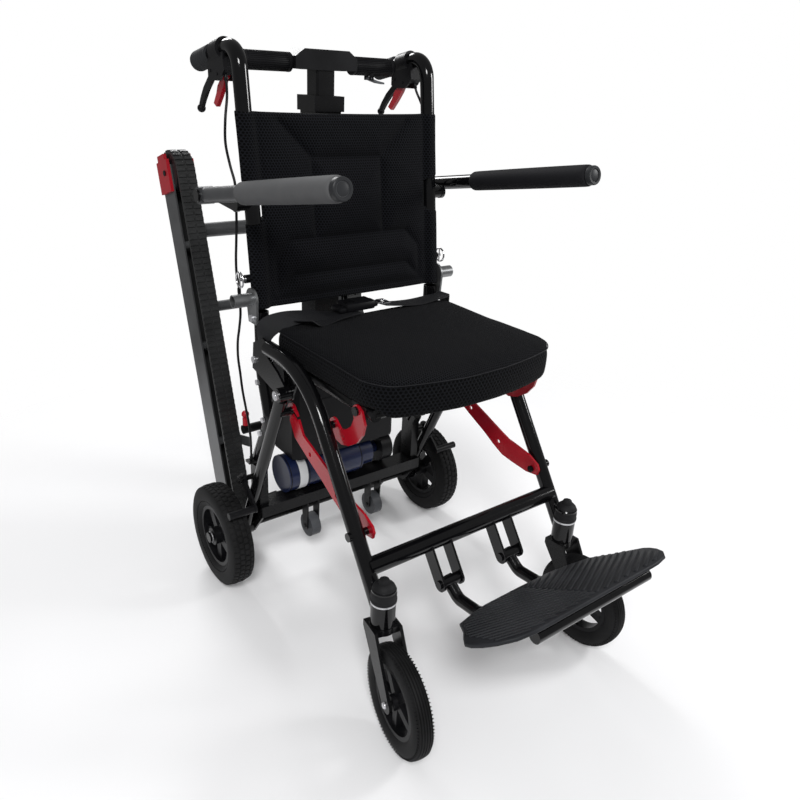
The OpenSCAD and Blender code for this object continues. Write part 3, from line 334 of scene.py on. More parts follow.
def webbing(thread, gap):
    """A recipe for a woven strap: fine diagonal ribs across, a selvedge along each edge."""
    def recipe(place):
        along, across, _ = place.split()
        rib = (across * 1.9 + (along * 2.2).math("PINGPONG", along * 2.2, 1.0) * 0.8)
        weave = (rib * 2.6).math("SINE", rib * 2.6) * 0.5 + 0.5
        pick = (along * 4.2).math("SINE", along * 4.2) * 0.5 + 0.5
        fuzz = place.noise(0.5, 3.0)
        return {
            "Base Color": (weave * 0.5 + pick * 0.2 + fuzz * 0.3).tint(gap, thread),
            "Roughness": weave * 0.1 + 0.5,
            "Normal": (weave * 0.7 + pick * 0.3).bump(0.00025),
        }
    return recipe


CLOTH = {"uv": True, "Specular_IOR_Level": 0.06, "Sheen_Weight": 0.02, "Sheen_Roughness": 0.5}
# SHADE is the painted shade inside the knit's holes.
HOLE, SHADE = 0.42, (0.0004, 0.0004, 0.0006)
seat_mesh = finish("seat_top_mesh", knit(3.8, HOLE, (0.0092, 0.0098, 0.0122), SHADE, 0.0009), **CLOTH)
side_mesh = finish("seat_side_mesh", knit(5.8, HOLE, (0.0070, 0.0075, 0.0094), SHADE, 0.0012), **CLOTH)
back_mesh = finish("back_mesh", knit(4.8, HOLE, (0.0082, 0.0088, 0.0115), SHADE, 0.0010), **CLOTH)
strap_web = finish("belt_webbing", webbing((0.017, 0.0175, 0.020), (0.004, 0.004, 0.005)), uv=True,
                   Specular_IOR_Level=0.3)
thread_mat = dull("stitch_thread", hard((0.012, 0.012, 0.014), 0.6, grain=2500))


def foam(colour):
    """A recipe for closed-cell foam: tiny cells and soft grey clouds."""
    def recipe(place):
        cells = place.node("ShaderNodeTexVoronoi", None, {"Vector": place, "Scale": 900.0})
        cloud = place.noise(40, 4.0)
        return {
            "Base Color": (cloud * 0.6 + cells * 0.4).tint([c * 0.8 for c in colour], [c * 1.2 for c in colour]),
            "Roughness": cells * 0.15 + 0.7,
            "Normal": cells.bump(0.0001),
        }
    return recipe


grey_foam = dull("grey_foam", foam((0.092, 0.093, 0.096)))
black_foam = dull("black_foam", foam((0.011, 0.011, 0.013)))
amber = finish("amber_lens", hard((0.75, 0.13, 0.01), 0.2, vary=0.1, grain=300, depth=0.0002), Coat_Weight=0.6)
print("all finishes:", len(bpy.data.materials))

# %% [markdown]
# ## Floor, world and lamps
# The photograph has a white studio round the chair. The white comes from the
# world as the camera and glossy surfaces see it, while a dimmer world and three
# soft lamps light the chair. The floor is a pale disc that keeps the shadow and
# fades out into the white.


# %% Studio
AIR, MIRRORED = 0.5, 0.25


def studio_world():
    world = bpy.data.worlds.new("studio")
    bpy.context.scene.world = world
    world.use_nodes = True
    tree = world.node_tree
    sky = tree.nodes["Background"]
    path = tree.nodes.new("ShaderNodeLightPath")
    seen = Wire(tree, path.outputs["Is Camera Ray"])
    mirror = Wire(tree, path.outputs["Is Glossy Ray"]) + Wire(tree, path.outputs["Is Transmission Ray"])
    put(tree, rgba((1, 1, 1)), sky.inputs["Color"])
    put(tree, seen * (1 - AIR) + mirror * (MIRRORED - AIR) + AIR, sky.inputs["Strength"])


def soft_lamp(name, place, aim, size, power):
    """A square area lamp that points at aim."""
    data = bpy.data.lights.new(name, "AREA")
    data.size = size
    data.energy = power
    lamp = show(name, data)
    lamp.location = place
    lamp.rotation_euler = (Vector(aim) - Vector(place)).to_track_quat("-Z", "Y").to_euler()


def pale_floor():
    bm = bmesh.new()
    bmesh.ops.create_circle(bm, cap_ends=True, segments=96, radius=3.0)
    mesh = bpy.data.meshes.new("floor")
    bm.to_mesh(mesh)
    bm.free()
    floor = show("floor", mesh)
    made = bpy.data.materials.new("floor_paper")
    made.use_nodes = True
    tree = made.node_tree
    shader = tree.nodes["Principled BSDF"]
    place = Wire(tree, tree.nodes.new("ShaderNodeTexCoord").outputs["Object"])
    put(tree, place.noise(3.0).tint((0.86, 0.86, 0.87), (0.9, 0.9, 0.91)), shader.inputs["Base Color"])
    shader.inputs["Roughness"].default_value = 0.9
    clear = tree.nodes.new("ShaderNodeBsdfTransparent")
    mix = tree.nodes.new("ShaderNodeMixShader")
    x, y, _ = place.split()
    put(tree, ((x * x + y * y) ** 0.5).step(0.75, 1.5), mix.inputs[0])
    tree.links.new(shader.outputs[0], mix.inputs[1])
    tree.links.new(clear.outputs[0], mix.inputs[2])
    tree.links.new(mix.outputs[0], tree.nodes["Material Output"].inputs["Surface"])
    mesh.materials.append(made)


studio_world()
pale_floor()
soft_lamp("key", (-1.5, -2.0, 2.6), (0, 0, 0.5), 0.8, 62)
soft_lamp("fill", (2.2, -1.2, 1.5), (0, 0, 0.5), 0.6, 26)
soft_lamp("rim", (0.3, 2.4, 2.2), (0, 0, 0.6), 0.9, 36)
bpy.context.scene.view_settings.view_transform = "Standard"
print("studio ready")

# %% [markdown]
# ## Making and placing a piece
# Every piece goes through one function. It turns a finished bmesh into an object
# at the origin, smooths its shading except at sharp corners, says which body of
# the mechanism it rides on, which finish it has, and which CAD solids it stands
# for.


# %% Piece helpers
def piece(name, bm, material, body, stands_for=(), angle=32.0):
    """An object from bm that rides on body and replaces the CAD nodes in stands_for."""
    bm.normal_update()
    mesh = bpy.data.meshes.new(name)
    bm.to_mesh(mesh)
    bm.free()
    for one in (material if isinstance(material, list) else [material]):
        mesh.materials.append(one)
    mesh.polygons.foreach_set("use_smooth", [True] * len(mesh.polygons))
    mesh.set_sharp_from_angle(angle=math.radians(angle))
    made = show(name, mesh)
    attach(made, body)
    if stands_for:
        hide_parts(*stands_for)
    return made


def soften(bm, edges, width, segments):
    """Rounds edges of bm by width millimetres."""
    return bmesh.ops.bevel(bm, geom=edges, offset=width * MM, offset_type="OFFSET", segments=segments,
                           profile=0.5, affect="EDGES", material=-1)["verts"]


def block(bm, size, place, bevel=0.0, turn=None):
    """Adds a box of size millimetres to bm, with its edges rounded by bevel, at place in metres."""
    new = bmesh.ops.create_cube(bm, size=1.0)["verts"]
    bmesh.ops.scale(bm, vec=Vector(size) * MM, verts=new)
    if bevel:
        new = soften(bm, list({e for v in new for e in v.link_edges}), bevel, 2)
    if turn:
        bmesh.ops.rotate(bm, verts=new, cent=(0, 0, 0), matrix=turn)
    bmesh.ops.translate(bm, vec=place, verts=new)
    return new


print("piece helpers ready")

# %% [markdown]
# ## Padding
# A cushion is foam in a sewn cover. It starts as a box that is cut into small
# squares, and a function moves every point to where the cover holds it. Then a
# short cloth simulation blows it up a little from inside, so that the cover
# strains between its seams. The move of each point is capped, so the pad stays
# in the space that the frame leaves for it.


# %% Padding helpers
def gridded_box(cells):
    """A box from -1 to 1 with every side cut into a grid, cells squares along x, y and z."""
    bm = bmesh.new()
    bmesh.ops.create_cube(bm, size=2.0)
    for axis, count in enumerate(cells):
        along = [e for e in bm.edges
                 if abs((e.verts[1].co - e.verts[0].co)[axis]) > 1.5]
        bmesh.ops.subdivide_edges(bm, edges=along, cuts=count - 1, use_grid_fill=True)
    return bm


def inflate(bm, cap, pressure=4.0, frames=20):
    """Blows a closed cover up with cloth pressure; no point moves more than cap millimetres."""
    mesh = bpy.data.meshes.new("blown")
    bm.to_mesh(mesh)
    blown = show("blown", mesh)
    cloth = blown.modifiers.new("cloth", "CLOTH")
    cloth.settings.quality = 5
    cloth.settings.mass = 0.3
    cloth.settings.use_pressure = True
    cloth.settings.uniform_pressure_force = pressure
    cloth.settings.effector_weights.gravity = 0.0
    cloth.point_cache.frame_start = 1
    cloth.point_cache.frame_end = frames
    scene = bpy.context.scene
    for step in range(1, frames + 1):
        scene.frame_set(step)
    graph = bpy.context.evaluated_depsgraph_get()
    after = [v.co.copy() for v in blown.evaluated_get(graph).data.vertices]
    for vert, place in zip(bm.verts, after):
        move = place - vert.co
        if move.length > cap * MM:
            move = move.normalized() * cap * MM
        vert.co += move
    bpy.data.objects.remove(blown)
    bpy.data.meshes.remove(mesh)
    scene.frame_set(1)
    return bm


def smoothed(made):
    """Finishes a soft piece with one level of subdivision surface."""
    surface = made.modifiers.new("surface", "SUBSURF")
    surface.levels = surface.render_levels = 1
    return made


def near(p, a, b):
    """Distance from the 2D point p to the segment from a to b."""
    ax, az = b[0] - a[0], b[1] - a[1]
    t = max(0.0, min(1.0, ((p[0] - a[0]) * ax + (p[1] - a[1]) * az) / (ax * ax + az * az)))
    return math.hypot(p[0] - a[0] - t * ax, p[1] - a[1] - t * az)


def sleeve(points, radius):
    """A round tube through points, as a bmesh."""
    line = bpy.data.curves.new("line", "CURVE")
    line.dimensions = "3D"
    line.bevel_depth = radius * MM
    line.bevel_resolution = 5
    line.use_fill_caps = True
    run = line.splines.new("POLY")
    run.points.add(len(points) - 1)
    for slot, place in zip(run.points, points):
        slot.co = (*place, 1)
    holder = show("line", line)
    mesh = bpy.data.meshes.new_from_object(holder.evaluated_get(bpy.context.evaluated_depsgraph_get()))
    bm = bmesh.new()
    bm.from_mesh(mesh)
    bpy.data.objects.remove(holder)
    bpy.data.curves.remove(line)
    bpy.data.meshes.remove(mesh)
    bmesh.ops.remove_doubles(bm, verts=bm.verts, dist=0.00001)
    bmesh.ops.recalc_face_normals(bm, faces=bm.faces)
    return bm


print("padding helpers ready")

# %% [markdown]
# ## Seat cushion
# A block of foam in a two-part cover: a fine mesh panel on top, and a coarser
# mesh boxing round the sides, joined by a seam just under the edge. The front
# bows forward and its corners are round. Where the panel meets the boxing the
# stitches pull the cover in, and the foam bulges on both sides of them.

# %% Seat cushion
CUSHION_HALF, CUSHION_REAR, CUSHION_FRONT, CUSHION_BOW = 184.0, 99.0, 390.0, 35.0
CUSHION_LOW, CUSHION_SIDE, CUSHION_CROWN = 491.5, 537.0, 8.0
SEAM_LEVEL, CUSHION_DROOP = 0.55, 11.0
FRONT_CORNER, REAR_CORNER = 38.0, 24.0
CUSHION_GRID, BACK_GRID = (56, 48, 10), (92, 2, 78)


def cushion_place(u, v, w):
    """Where the cover's point goes: u left, v forward, w up, each from -1 to 1."""
    half_y = (CUSHION_FRONT - CUSHION_REAR) / 2
    x, y = u * CUSHION_HALF, v * half_y
    radius = FRONT_CORNER if v > 0 else REAR_CORNER
    cx, cy = abs(x) - (CUSHION_HALF - radius), abs(y) - (half_y - radius)
    if cx > 0 and cy > 0:
        reach = max(cx, cy)
        scale = reach / math.hypot(cx, cy)
        x = math.copysign(CUSHION_HALF - radius + cx * scale, x)
        y = math.copysign(half_y - radius + cy * scale, y)
    front = (v + 1) / 2
    y += CUSHION_BOW * (1 - (x / CUSHION_HALF) ** 2) * front * front
    edge = max(abs(u), abs(v))
    side = 1.6 * (1 - w * w) - 2.6 * math.exp(-((w - SEAM_LEVEL) / 0.1) ** 2)
    side -= 5.0 * max(0.0, (w - 0.8) / 0.2) ** 2 + 3.5 * max(0.0, (-0.7 - w) / 0.3) ** 2
    pull = side * edge ** 8
    out = Vector((x, y, 0)).normalized() * pull if edge > 0.2 else Vector((0, 0, 0))
    z = CUSHION_LOW + (CUSHION_SIDE - CUSHION_LOW) * (w + 1) / 2
    if w > 0.99:
        crown = (1 - abs(u) ** 3.2) * (1 - abs(v) ** 4)
        dip = 1.5 * math.exp(-((u * 1.4) ** 2 + (v * 1.6 - 0.1) ** 2) * 2)
        ripple = 0.8 * noise.noise(Vector((x * 0.016, y * 0.011, 0.5)))
        z += CUSHION_CROWN * crown - dip + ripple * (1 - edge ** 4)
    ahead = CUSHION_REAR + half_y + y
    z -= CUSHION_DROOP * min(1.0, max(0.0, (ahead - 379.0) / 16)) * (1 - w) / 2
    return Vector((x + out.x, AXLE_Y - (CUSHION_REAR + half_y) - (y + out.y), z)) * MM


def cushion_cloth(bm):
    """Lays a UV map in millimetres on the cover: flat on top, wound round the sides."""
    layer = bm.loops.layers.uv.new("cloth")
    middle = AXLE_Y - (CUSHION_REAR + CUSHION_FRONT) / 2
    for face in bm.faces:
        up = abs(face.normal.z) > 0.6
        face.material_index = 0 if up and face.normal.z > 0 else 1
        turn = None
        for loop in face.loops:
            p = loop.vert.co / MM
            if up:
                loop[layer].uv = (p.x, p.y)
                continue
            way = math.atan2(p.x * 0.8, -(p.y - middle))
            if turn is not None and abs(way - turn) > math.pi:
                way += math.copysign(2 * math.pi, turn - way)
            turn = way
            loop[layer].uv = (way * 190.0, p.z)


def seat_cushion():
    bm = gridded_box(CUSHION_GRID)
    seam = [v for v in bm.verts if abs(v.co.z - 0.8) < 0.01 and max(abs(v.co.x), abs(v.co.y)) > 0.999]
    for vert in bm.verts:
        u, v, w = vert.co
        vert.co = cushion_place(u, -v, w)
    bmesh.ops.recalc_face_normals(bm, faces=bm.faces)
    inflate(bm, 3.0)
    for vert in bm.verts:
        if AXLE_Y - vert.co.y / MM < 380:
            vert.co.z = max(vert.co.z, (CUSHION_LOW - 0.4) * MM)
    bm.normal_update()
    cushion_cloth(bm)
    line = [v.co.copy() for v in seam]
    made = piece("seat_cushion_cover", bm, [seat_mesh, side_mesh], "seat", ["seat_cushion"], 180)
    middle = sum(line, Vector()) / len(line)
    line.sort(key=lambda p: math.atan2(p.x - middle.x, p.y - middle.y))
    line.append(line[0])
    piece("cushion_piping", sleeve(line, 0.9), thread_mat, "seat")
    return smoothed(made)


cushion = seat_cushion()
print("cushion faces:", len(cushion.data.polygons))

# %% [markdown]
# ## Backrest
# A sling of padded mesh between the two canes. Its edges are sewn into sleeves
# that slip over the tubes, with a gap where the armrest bracket clamps on. Sewn
# lines hold the two skins together: a rectangle in the middle, diagonals to the
# corners, and two channels low down. The foam swells between those lines, so
# each point's height is worked out from its distance to the nearest line.

# %% Backrest
BACK_LOW, BACK_HIGH, BACK_HALF, SLEEVE_HALF = 557.5, 865.5, 166.8, 198.6
BRACKET_Z, BRACKET_HALF, SLEEVE_R = 727.0, 26.0, 15.4
CANE_X, LEAN = 183.0, math.tan(math.radians(7.3))
HINGE_AHEAD, HINGE_UP = 57.0, 575.0
BACK_SEAMS = [
    ((-70, 793), (70, 793)), ((-70, 793), (-70, 664)), ((70, 793), (70, 664)),
    ((-120, 664), (120, 664)), ((-120, 606), (120, 606)),
    ((-70, 793), (-128, 852)), ((70, 793), (128, 852)),
    ((-120, 664), (-150, 634)), ((120, 664), (150, 634)),
    ((-120, 606), (-150, 578)), ((120, 606), (150, 578)),
    ((-160, 571), (160, 571)), ((-150, 634), (-150, 578)), ((150, 634), (150, 578)),
]


def back_pad(x, z):
    """How far the pad's front stands off the middle plane, in millimetres."""
    line = min(near((x, z), a, b) for a, b in BACK_SEAMS)
    swell = 1 - math.exp(-(line / 15.0) ** 1.2)
    stitch = math.exp(-(line / 3.2) ** 2)
    fold = noise.noise(Vector((x * 0.018 + z * 0.012, z * 0.03, 1.7))) * 2.4
    border = (1 - (abs(x) / 172.0) ** 6) if abs(x) < 172 else 0.0
    ends = min(1.0, (z - BACK_LOW) / 16 + 0.25, (BACK_HIGH - z) / 14 + 0.25)
    return 4.2 + (11.5 * swell + fold * swell) * max(0.0, border) * ends - 2.6 * stitch


def sleeve_reach(z):
    """Half width of the sling at height z: in at the armrest bracket, out over the tubes."""
    gap = min(1.0, max(0.0, (abs(z - BRACKET_Z) - BRACKET_HALF) / 3.0))
    return BACK_HALF + 0.4 + (SLEEVE_HALF - BACK_HALF - 0.4) * gap


def back_place(u, w, front):
    z = BACK_LOW + (BACK_HIGH - BACK_LOW) * (w + 1) / 2
    reach = sleeve_reach(z)
    flat = 0.8
    x = u / flat * (BACK_HALF - 6) if abs(u) < flat else math.copysign(
        BACK_HALF - 6 + (reach - BACK_HALF + 6) * (abs(u) - flat) / (1 - flat), u)
    tube = SLEEVE_R ** 2 - (abs(x) - CANE_X) ** 2
    sleeve = math.sqrt(tube) if tube > 0 and reach > CANE_X else 0.0
    slack = 0.5 * noise.noise(Vector((x * 0.05, z * 0.06, 4.0)))
    off = max(back_pad(x, z) if front else 0.72 * back_pad(x, z), sleeve + (slack if sleeve > 8 else 0))
    if abs(u) > 0.999:
        off = min(off, 1.0)
    ahead = HINGE_AHEAD - (z - HINGE_UP) * LEAN + (off if front else -off)
    sag = 2.5 * (1 - (x / SLEEVE_HALF) ** 2) * max(0.0, w) ** 4
    return spot(x, ahead, z - sag)


def backrest():
    bm = gridded_box(BACK_GRID)
    for vert in bm.verts:
        u, v, w = vert.co
        if abs(v) < 0.5:
            vert.co = (back_place(u, w, True) + back_place(u, w, False)) / 2
        else:
            vert.co = back_place(u, w, v < 0)
    bmesh.ops.recalc_face_normals(bm, faces=bm.faces)
    inflate(bm, 1.4, 2.0)
    layer = bm.loops.layers.uv.new("cloth")
    for face in bm.faces:
        for loop in face.loops:
            p = loop.vert.co / MM
            loop[layer].uv = (p.x, p.z)
    made = piece("backrest_sling", bm, back_mesh, "back", ["backrest"], 180)
    return smoothed(made)


sling = backrest()
print("backrest faces:", len(sling.data.polygons))

# %% [markdown]
# ## Round parts
# A wheel, a knob and a grip are all one outline turned about an axis. A helper
# draws the outline as a chain of edges and spins it. The others lay a shape many
# times round an axis, because tread blocks, ribs and spokes repeat.


# %% Turning helpers
def turned(profile, centre, axis, steps=64, start=(0, 0, 1)):
    """Spins profile, a list of (radius, along the axis) in millimetres, about an axis through centre."""
    axis, out = Vector(axis).normalized(), Vector(start)
    out = (out - axis * out.dot(axis)).normalized()
    bm = bmesh.new()
    verts = [bm.verts.new(centre + (out * r + axis * a) * MM) for r, a in profile]
    edges = [bm.edges.new(p) for p in zip(verts, verts[1:])]
    bmesh.ops.spin(bm, geom=verts + edges, cent=centre, axis=axis, angle=2 * math.pi, steps=steps, use_merge=True)
    bmesh.ops.remove_doubles(bm, verts=bm.verts, dist=0.00002)
    bmesh.ops.recalc_face_normals(bm, faces=bm.faces)
    return bm


def around(bm, verts, centre, axis, count):
    """Repeats verts and what joins them count times round the axis through centre."""
    faces = list({f for v in verts for f in v.link_faces})
    edges = list({e for v in verts for e in v.link_edges})
    bmesh.ops.spin(bm, geom=list(verts) + edges + faces, cent=centre, axis=axis,
                   angle=2 * math.pi * (count - 1) / count, steps=count - 1, use_duplicate=True)


def mirrored(half, last):
    """An outline that goes on from half as its mirror image, without the last few points, and closes."""
    return half + [(r, -a) for r, a in reversed(half[:last])] + [half[0]]


def add(bm, other):
    """Puts everything of other into bm."""
    mesh = bpy.data.meshes.new("part")
    other.to_mesh(mesh)
    other.free()
    bm.from_mesh(mesh)
    bpy.data.meshes.remove(mesh)
    return bm


SIDES = (("right", -1), ("left", 1))


def both(make):
    """One bmesh with what make gives for the right and for the left."""
    bm = bmesh.new()
    for _, sign in SIDES:
        add(bm, make(sign))
    return bm


print("turning helpers ready")

# %% [markdown]
# ## Lap belt
# The webbing comes up from an anchor on each side of the seat, lies across the
# rear of the cushion and meets in a buckle, with the loose end folded back
# under it. A strap is a flat strip: it starts as one edge as wide as the
# webbing, which is extruded along the way and then given its thickness.


# %% Lap belt
def strip(way, thickness):
    """A strap through way, a list of (middle, half width vector), with a UV map in millimetres."""
    bm = bmesh.new()
    layer = bm.loops.layers.uv.new("cloth")
    middle, half = way[0]
    pair = [bm.verts.new(middle - half), bm.verts.new(middle + half)]
    edge = bm.edges.new(pair)
    run = 0.0
    for (before, _), (middle, half) in zip(way, way[1:]):
        new = bmesh.ops.extrude_edge_only(bm, edges=[edge])["geom"]
        edge = [e for e in new if isinstance(e, bmesh.types.BMEdge)][0]
        face = [f for f in new if isinstance(f, bmesh.types.BMFace)][0]
        low, high = sorted(edge.verts, key=lambda v: (v.co - before).dot(half))
        low.co, high.co = middle - half, middle + half
        step = (middle - before).length / MM
        for loop in face.loops:
            wide = math.copysign(half.length / MM, (loop.vert.co - middle).dot(half))
            loop[layer].uv = (run + (step if loop.vert in (low, high) else 0), wide)
        run += step
    bmesh.ops.recalc_face_normals(bm, faces=bm.faces)
    bmesh.ops.solidify(bm, geom=bm.faces[:], thickness=thickness * MM)
    bmesh.ops.recalc_face_normals(bm, faces=bm.faces)
    return bm


def curve_way(points, count):
    """Points evenly spread on a smooth line through points (Catmull-Rom)."""
    out = []
    ends = [points[0] * 2 - points[1]] + list(points) + [points[-1] * 2 - points[-2]]
    for i in range(1, len(ends) - 2):
        a, b, c, d = ends[i - 1:i + 3]
        for k in range(count):
            t = k / count
            out.append(0.5 * ((2 * b) + (c - a) * t + (2 * a - 5 * b + 4 * c - d) * t * t
                              + (3 * b - 3 * c + d - a) * t ** 3))
    out.append(points[-1].copy())
    return out


BELT_HALF, BELT_SKIN, BUCKLE_X, BUCKLE_AHEAD = 21.5, 1.6, -34.0, 122
ANCHOR_X, ANCHOR_AHEAD, ANCHOR_Z = 193, 91, 488
cushion_tree = BVHTree.FromObject(cushion, bpy.context.evaluated_depsgraph_get())


def on_cushion(x, ahead, lift):
    """A point lift millimetres above the highest part of the cushion under the strap there."""
    tops = [537.0]
    for across in (-16, -8, 0, 8, 16):
        hit = cushion_tree.ray_cast(spot(x, ahead + across, 700), Vector((0, 0, -1)))[0]
        if hit:
            tops.append(hit.z / MM)
    return (x, ahead, max(tops) + lift)


def belt_run(stations):
    """A strap's way through stations, each a place and the direction of half its width, at most 1 long."""
    line = curve_way([spot(*place) for place, _ in stations], 8)
    turn = curve_way([Vector(wide) for _, wide in stations], 8)
    return [(p, t.normalized() * BELT_HALF * MM * min(1.0, t.length)) for p, t in zip(line, turn)]


def seat_belt():
    deck = on_cushion(0, 123, 0)[2]
    right = belt_run([
        ((-ANCHOR_X, ANCHOR_AHEAD, ANCHOR_Z), (0, -0.7, 0)), ((-197, 91, 510), (0.1, -0.72, -0.05)),
        ((-194, 94, 531), (0.3, -0.78, -0.28)), (on_cushion(-178, 102, 8), (0.42, -0.78, -0.34)),
        (on_cushion(-150, 112, 11), (0.32, -0.86, -0.28)), (on_cushion(-112, 119, 8), (0.14, -0.95, -0.16)),
        (on_cushion(-80, 121, 3.5), (0, -1, 0)), (on_cushion(BUCKLE_X - 14, 122, 2.0), (0, -1, 0))])
    left = belt_run([
        ((BUCKLE_X + 50, 122, deck + 11), (0, -1, 0.1)), (on_cushion(48, 121, 6), (0, -1, 0.1)),
        (on_cushion(96, 119, 2.4), (0, -1, 0.06)), (on_cushion(140, 114, 5), (-0.1, -1, 0.1)),
        (on_cushion(172, 107, 8), (-0.2, -1, 0.1)), ((191, 96, 545), (-0.2, -0.85, 0.1)),
        ((196, 91, 518), (-0.1, -0.72, 0)), ((ANCHOR_X, ANCHOR_AHEAD, ANCHOR_Z), (0, -0.7, 0))])
    tail = belt_run([
        (on_cushion(-150, 141, 12), (0.3, -0.9, 0.2)), (on_cushion(-128, 141, 2.6), (0.25, -0.9, 0)),
        (on_cushion(-92, 138, 4.4), (0.15, -0.9, 0.08)), (on_cushion(BUCKLE_X - 20, 132, 6.4), (0.1, -0.9, 0.05)),
        (on_cushion(BUCKLE_X - 4, 128, 6.0), (0, -0.9, 0))])
    made = []
    for name, way in (("belt_strap_right", right), ("belt_strap_left", left), ("belt_tail", tail)):
        made.append(piece(name, strip(way, BELT_SKIN), strap_web, "seat", ["seat_belt"], 40))
    bm = bmesh.new()

    def part(size, x, up, bevel, ahead=0.0):
        """A block of the buckle, from its middle x to the left and up from the cushion's top."""
        block(bm, size, spot(BUCKLE_X + x, BUCKLE_AHEAD + ahead, deck + up), bevel)

    part((60, 37, 16), 0, 16, 5.4)
    body = [f for f in bm.faces if f.normal.z > 0.9]
    bmesh.ops.inset_region(bm, faces=body, thickness=2.8 * MM, depth=-0.9 * MM)
    part((20, 31, 9), -32, 12.5, 3.0)
    part((14, 27, 10), 31, 15, 3.0)
    for k in range(6):
        part((1.2, 22, 1.2), 3 * k - 24, 23.6, 0.4)
    piece("belt_buckle", bm, cast_black, "seat", ["seat_belt"])
    bm = bmesh.new()
    part((16, 17, 2.8), 44, 14, 0.9)
    for edge in (-11.4, 11.4):
        part((15, 3.4, 3.4), 57, 13, 1.1, edge)
    for bar in (51.0, 64.0):
        part((3.4, 26, 3.4), bar, 13, 1.1)
    piece("belt_tongue", bm, chrome, "seat", ["seat_belt"])
    bm = bmesh.new()
    for _, sign in SIDES:
        block(bm, (2.4, 22, 15), spot(sign * (ANCHOR_X + 1.4), ANCHOR_AHEAD, ANCHOR_Z - 5), 0.8)
        add(bm, turned([(0, 0), (5.6, 0), (5.6, 2.6), (4.2, 3.8), (0, 3.8)],
                       spot(sign * (ANCHOR_X + 2.4), ANCHOR_AHEAD, ANCHOR_Z - 8), (sign, 0, 0), 6))
    piece("belt_anchors", bm, steel, "seat", ["seat_belt"])
    return made


print("belt straps:", [len(p.data.polygons) for p in seat_belt()])

# %% [markdown]
# ## Rear tyres
# Solid rubber tyres: a square block tread in four rows with deep grooves, a
# plain shoulder, and a ring of small round cooling holes in the sidewall. The
# body of the tyre is turned, the holes are sunk into it face by face, and the
# tread blocks are laid round it.

# %% Rear tyres
REAR_X, REAR_R, REAR_W, REAR_RIM = 250.0, 100.0, 45.0, 60.0
TREAD_ROWS, TREAD_BLOCKS, SHOULDER_CUTS = (-14.6, -4.9, 4.9, 14.6), 52, 90


def rear_tyre(side, sign):
    centre = spot(sign * REAR_X, 0, REAR_R)
    half, r, rim = REAR_W / 2, REAR_R, REAR_RIM
    outline = [(rim, -half * 0.7), (rim + 3, -half * 0.82), (rim + 8, -half * 0.93), (rim + 12, -half * 0.985),
               (rim + 19, -half), (r - 9, -half * 0.97), (r - 5, -half * 0.88), (r - 3.0, -half * 0.6), (r - 2.4, 0)]
    bm = turned(mirrored(outline, -1), centre, (1, 0, 0), 84)
    band = [f for f in bm.faces
            if rim + 12 < (f.calc_center_median() - centre).length / MM < rim + 22
            and abs(f.normal.x) > 0.9]
    band.sort(key=lambda f: (f.normal.x > 0, math.atan2(f.calc_center_median().y - centre.y,
                                                        f.calc_center_median().z - centre.z)))
    holes = [f for i, f in enumerate(band) if i % 2 == 0]
    bmesh.ops.inset_individual(bm, faces=holes, thickness=1.3 * MM, depth=0.0)
    bmesh.ops.inset_individual(bm, faces=holes, thickness=0.2 * MM, depth=-5.0 * MM)
    for row, x in enumerate(TREAD_ROWS):
        low = 2.2 if abs(x) > 10 else 0.6
        tilt = turn_by(math.copysign(13, x) if abs(x) > 10 else 0, "Y")
        turn = turn_by(4.2 * (row % 2), "X")
        verts = block(bm, (8.3, 9.2, 4.6), Vector((x, 0, r - low - 2.4)) * MM, 0.8, tilt)
        bmesh.ops.rotate(bm, verts=verts, cent=(0, 0, 0), matrix=turn)
        bmesh.ops.translate(bm, vec=centre, verts=verts)
        around(bm, verts, centre, (1, 0, 0), TREAD_BLOCKS)
    return piece("rear_tread_" + side, bm, tyre_rubber, "rear_wheel_" + side, ["rear_tyre_" + side])


print("rear tyre faces:", [len(rear_tyre(*s).data.polygons) for s in SIDES])

# %% [markdown]
# ## Front tyres
# The casters have narrow tyres with a round tread and fine grooves that run all
# the way round. Such grooves belong in the outline that is turned, because one
# notch in the outline becomes one groove in the tyre. Short cross cuts on the
# shoulders are laid round as small ribs.

# %% Front tyres
FRONT_R, FRONT_W, FRONT_RIM = 85.0, 30.0, 56.0
STEM_X, CASTER_AHEAD, TRAIL = 198.0, 452.0, 62.0
CASTERS = {"right": (-STEM_X, -9.0), "left": (STEM_X, 3.0)}


def caster_spot(side, x, ahead, z):
    """A place on a caster, given as if its wheel pointed straight ahead of the stem."""
    stem, degrees = CASTERS[side]
    return spot(stem, CASTER_AHEAD, 0) + turn_by(degrees, "Z") @ (Vector((x, -ahead, z)) * MM)


def caster_axis(side):
    return turn_by(CASTERS[side][1], "Z") @ Vector((1, 0, 0))


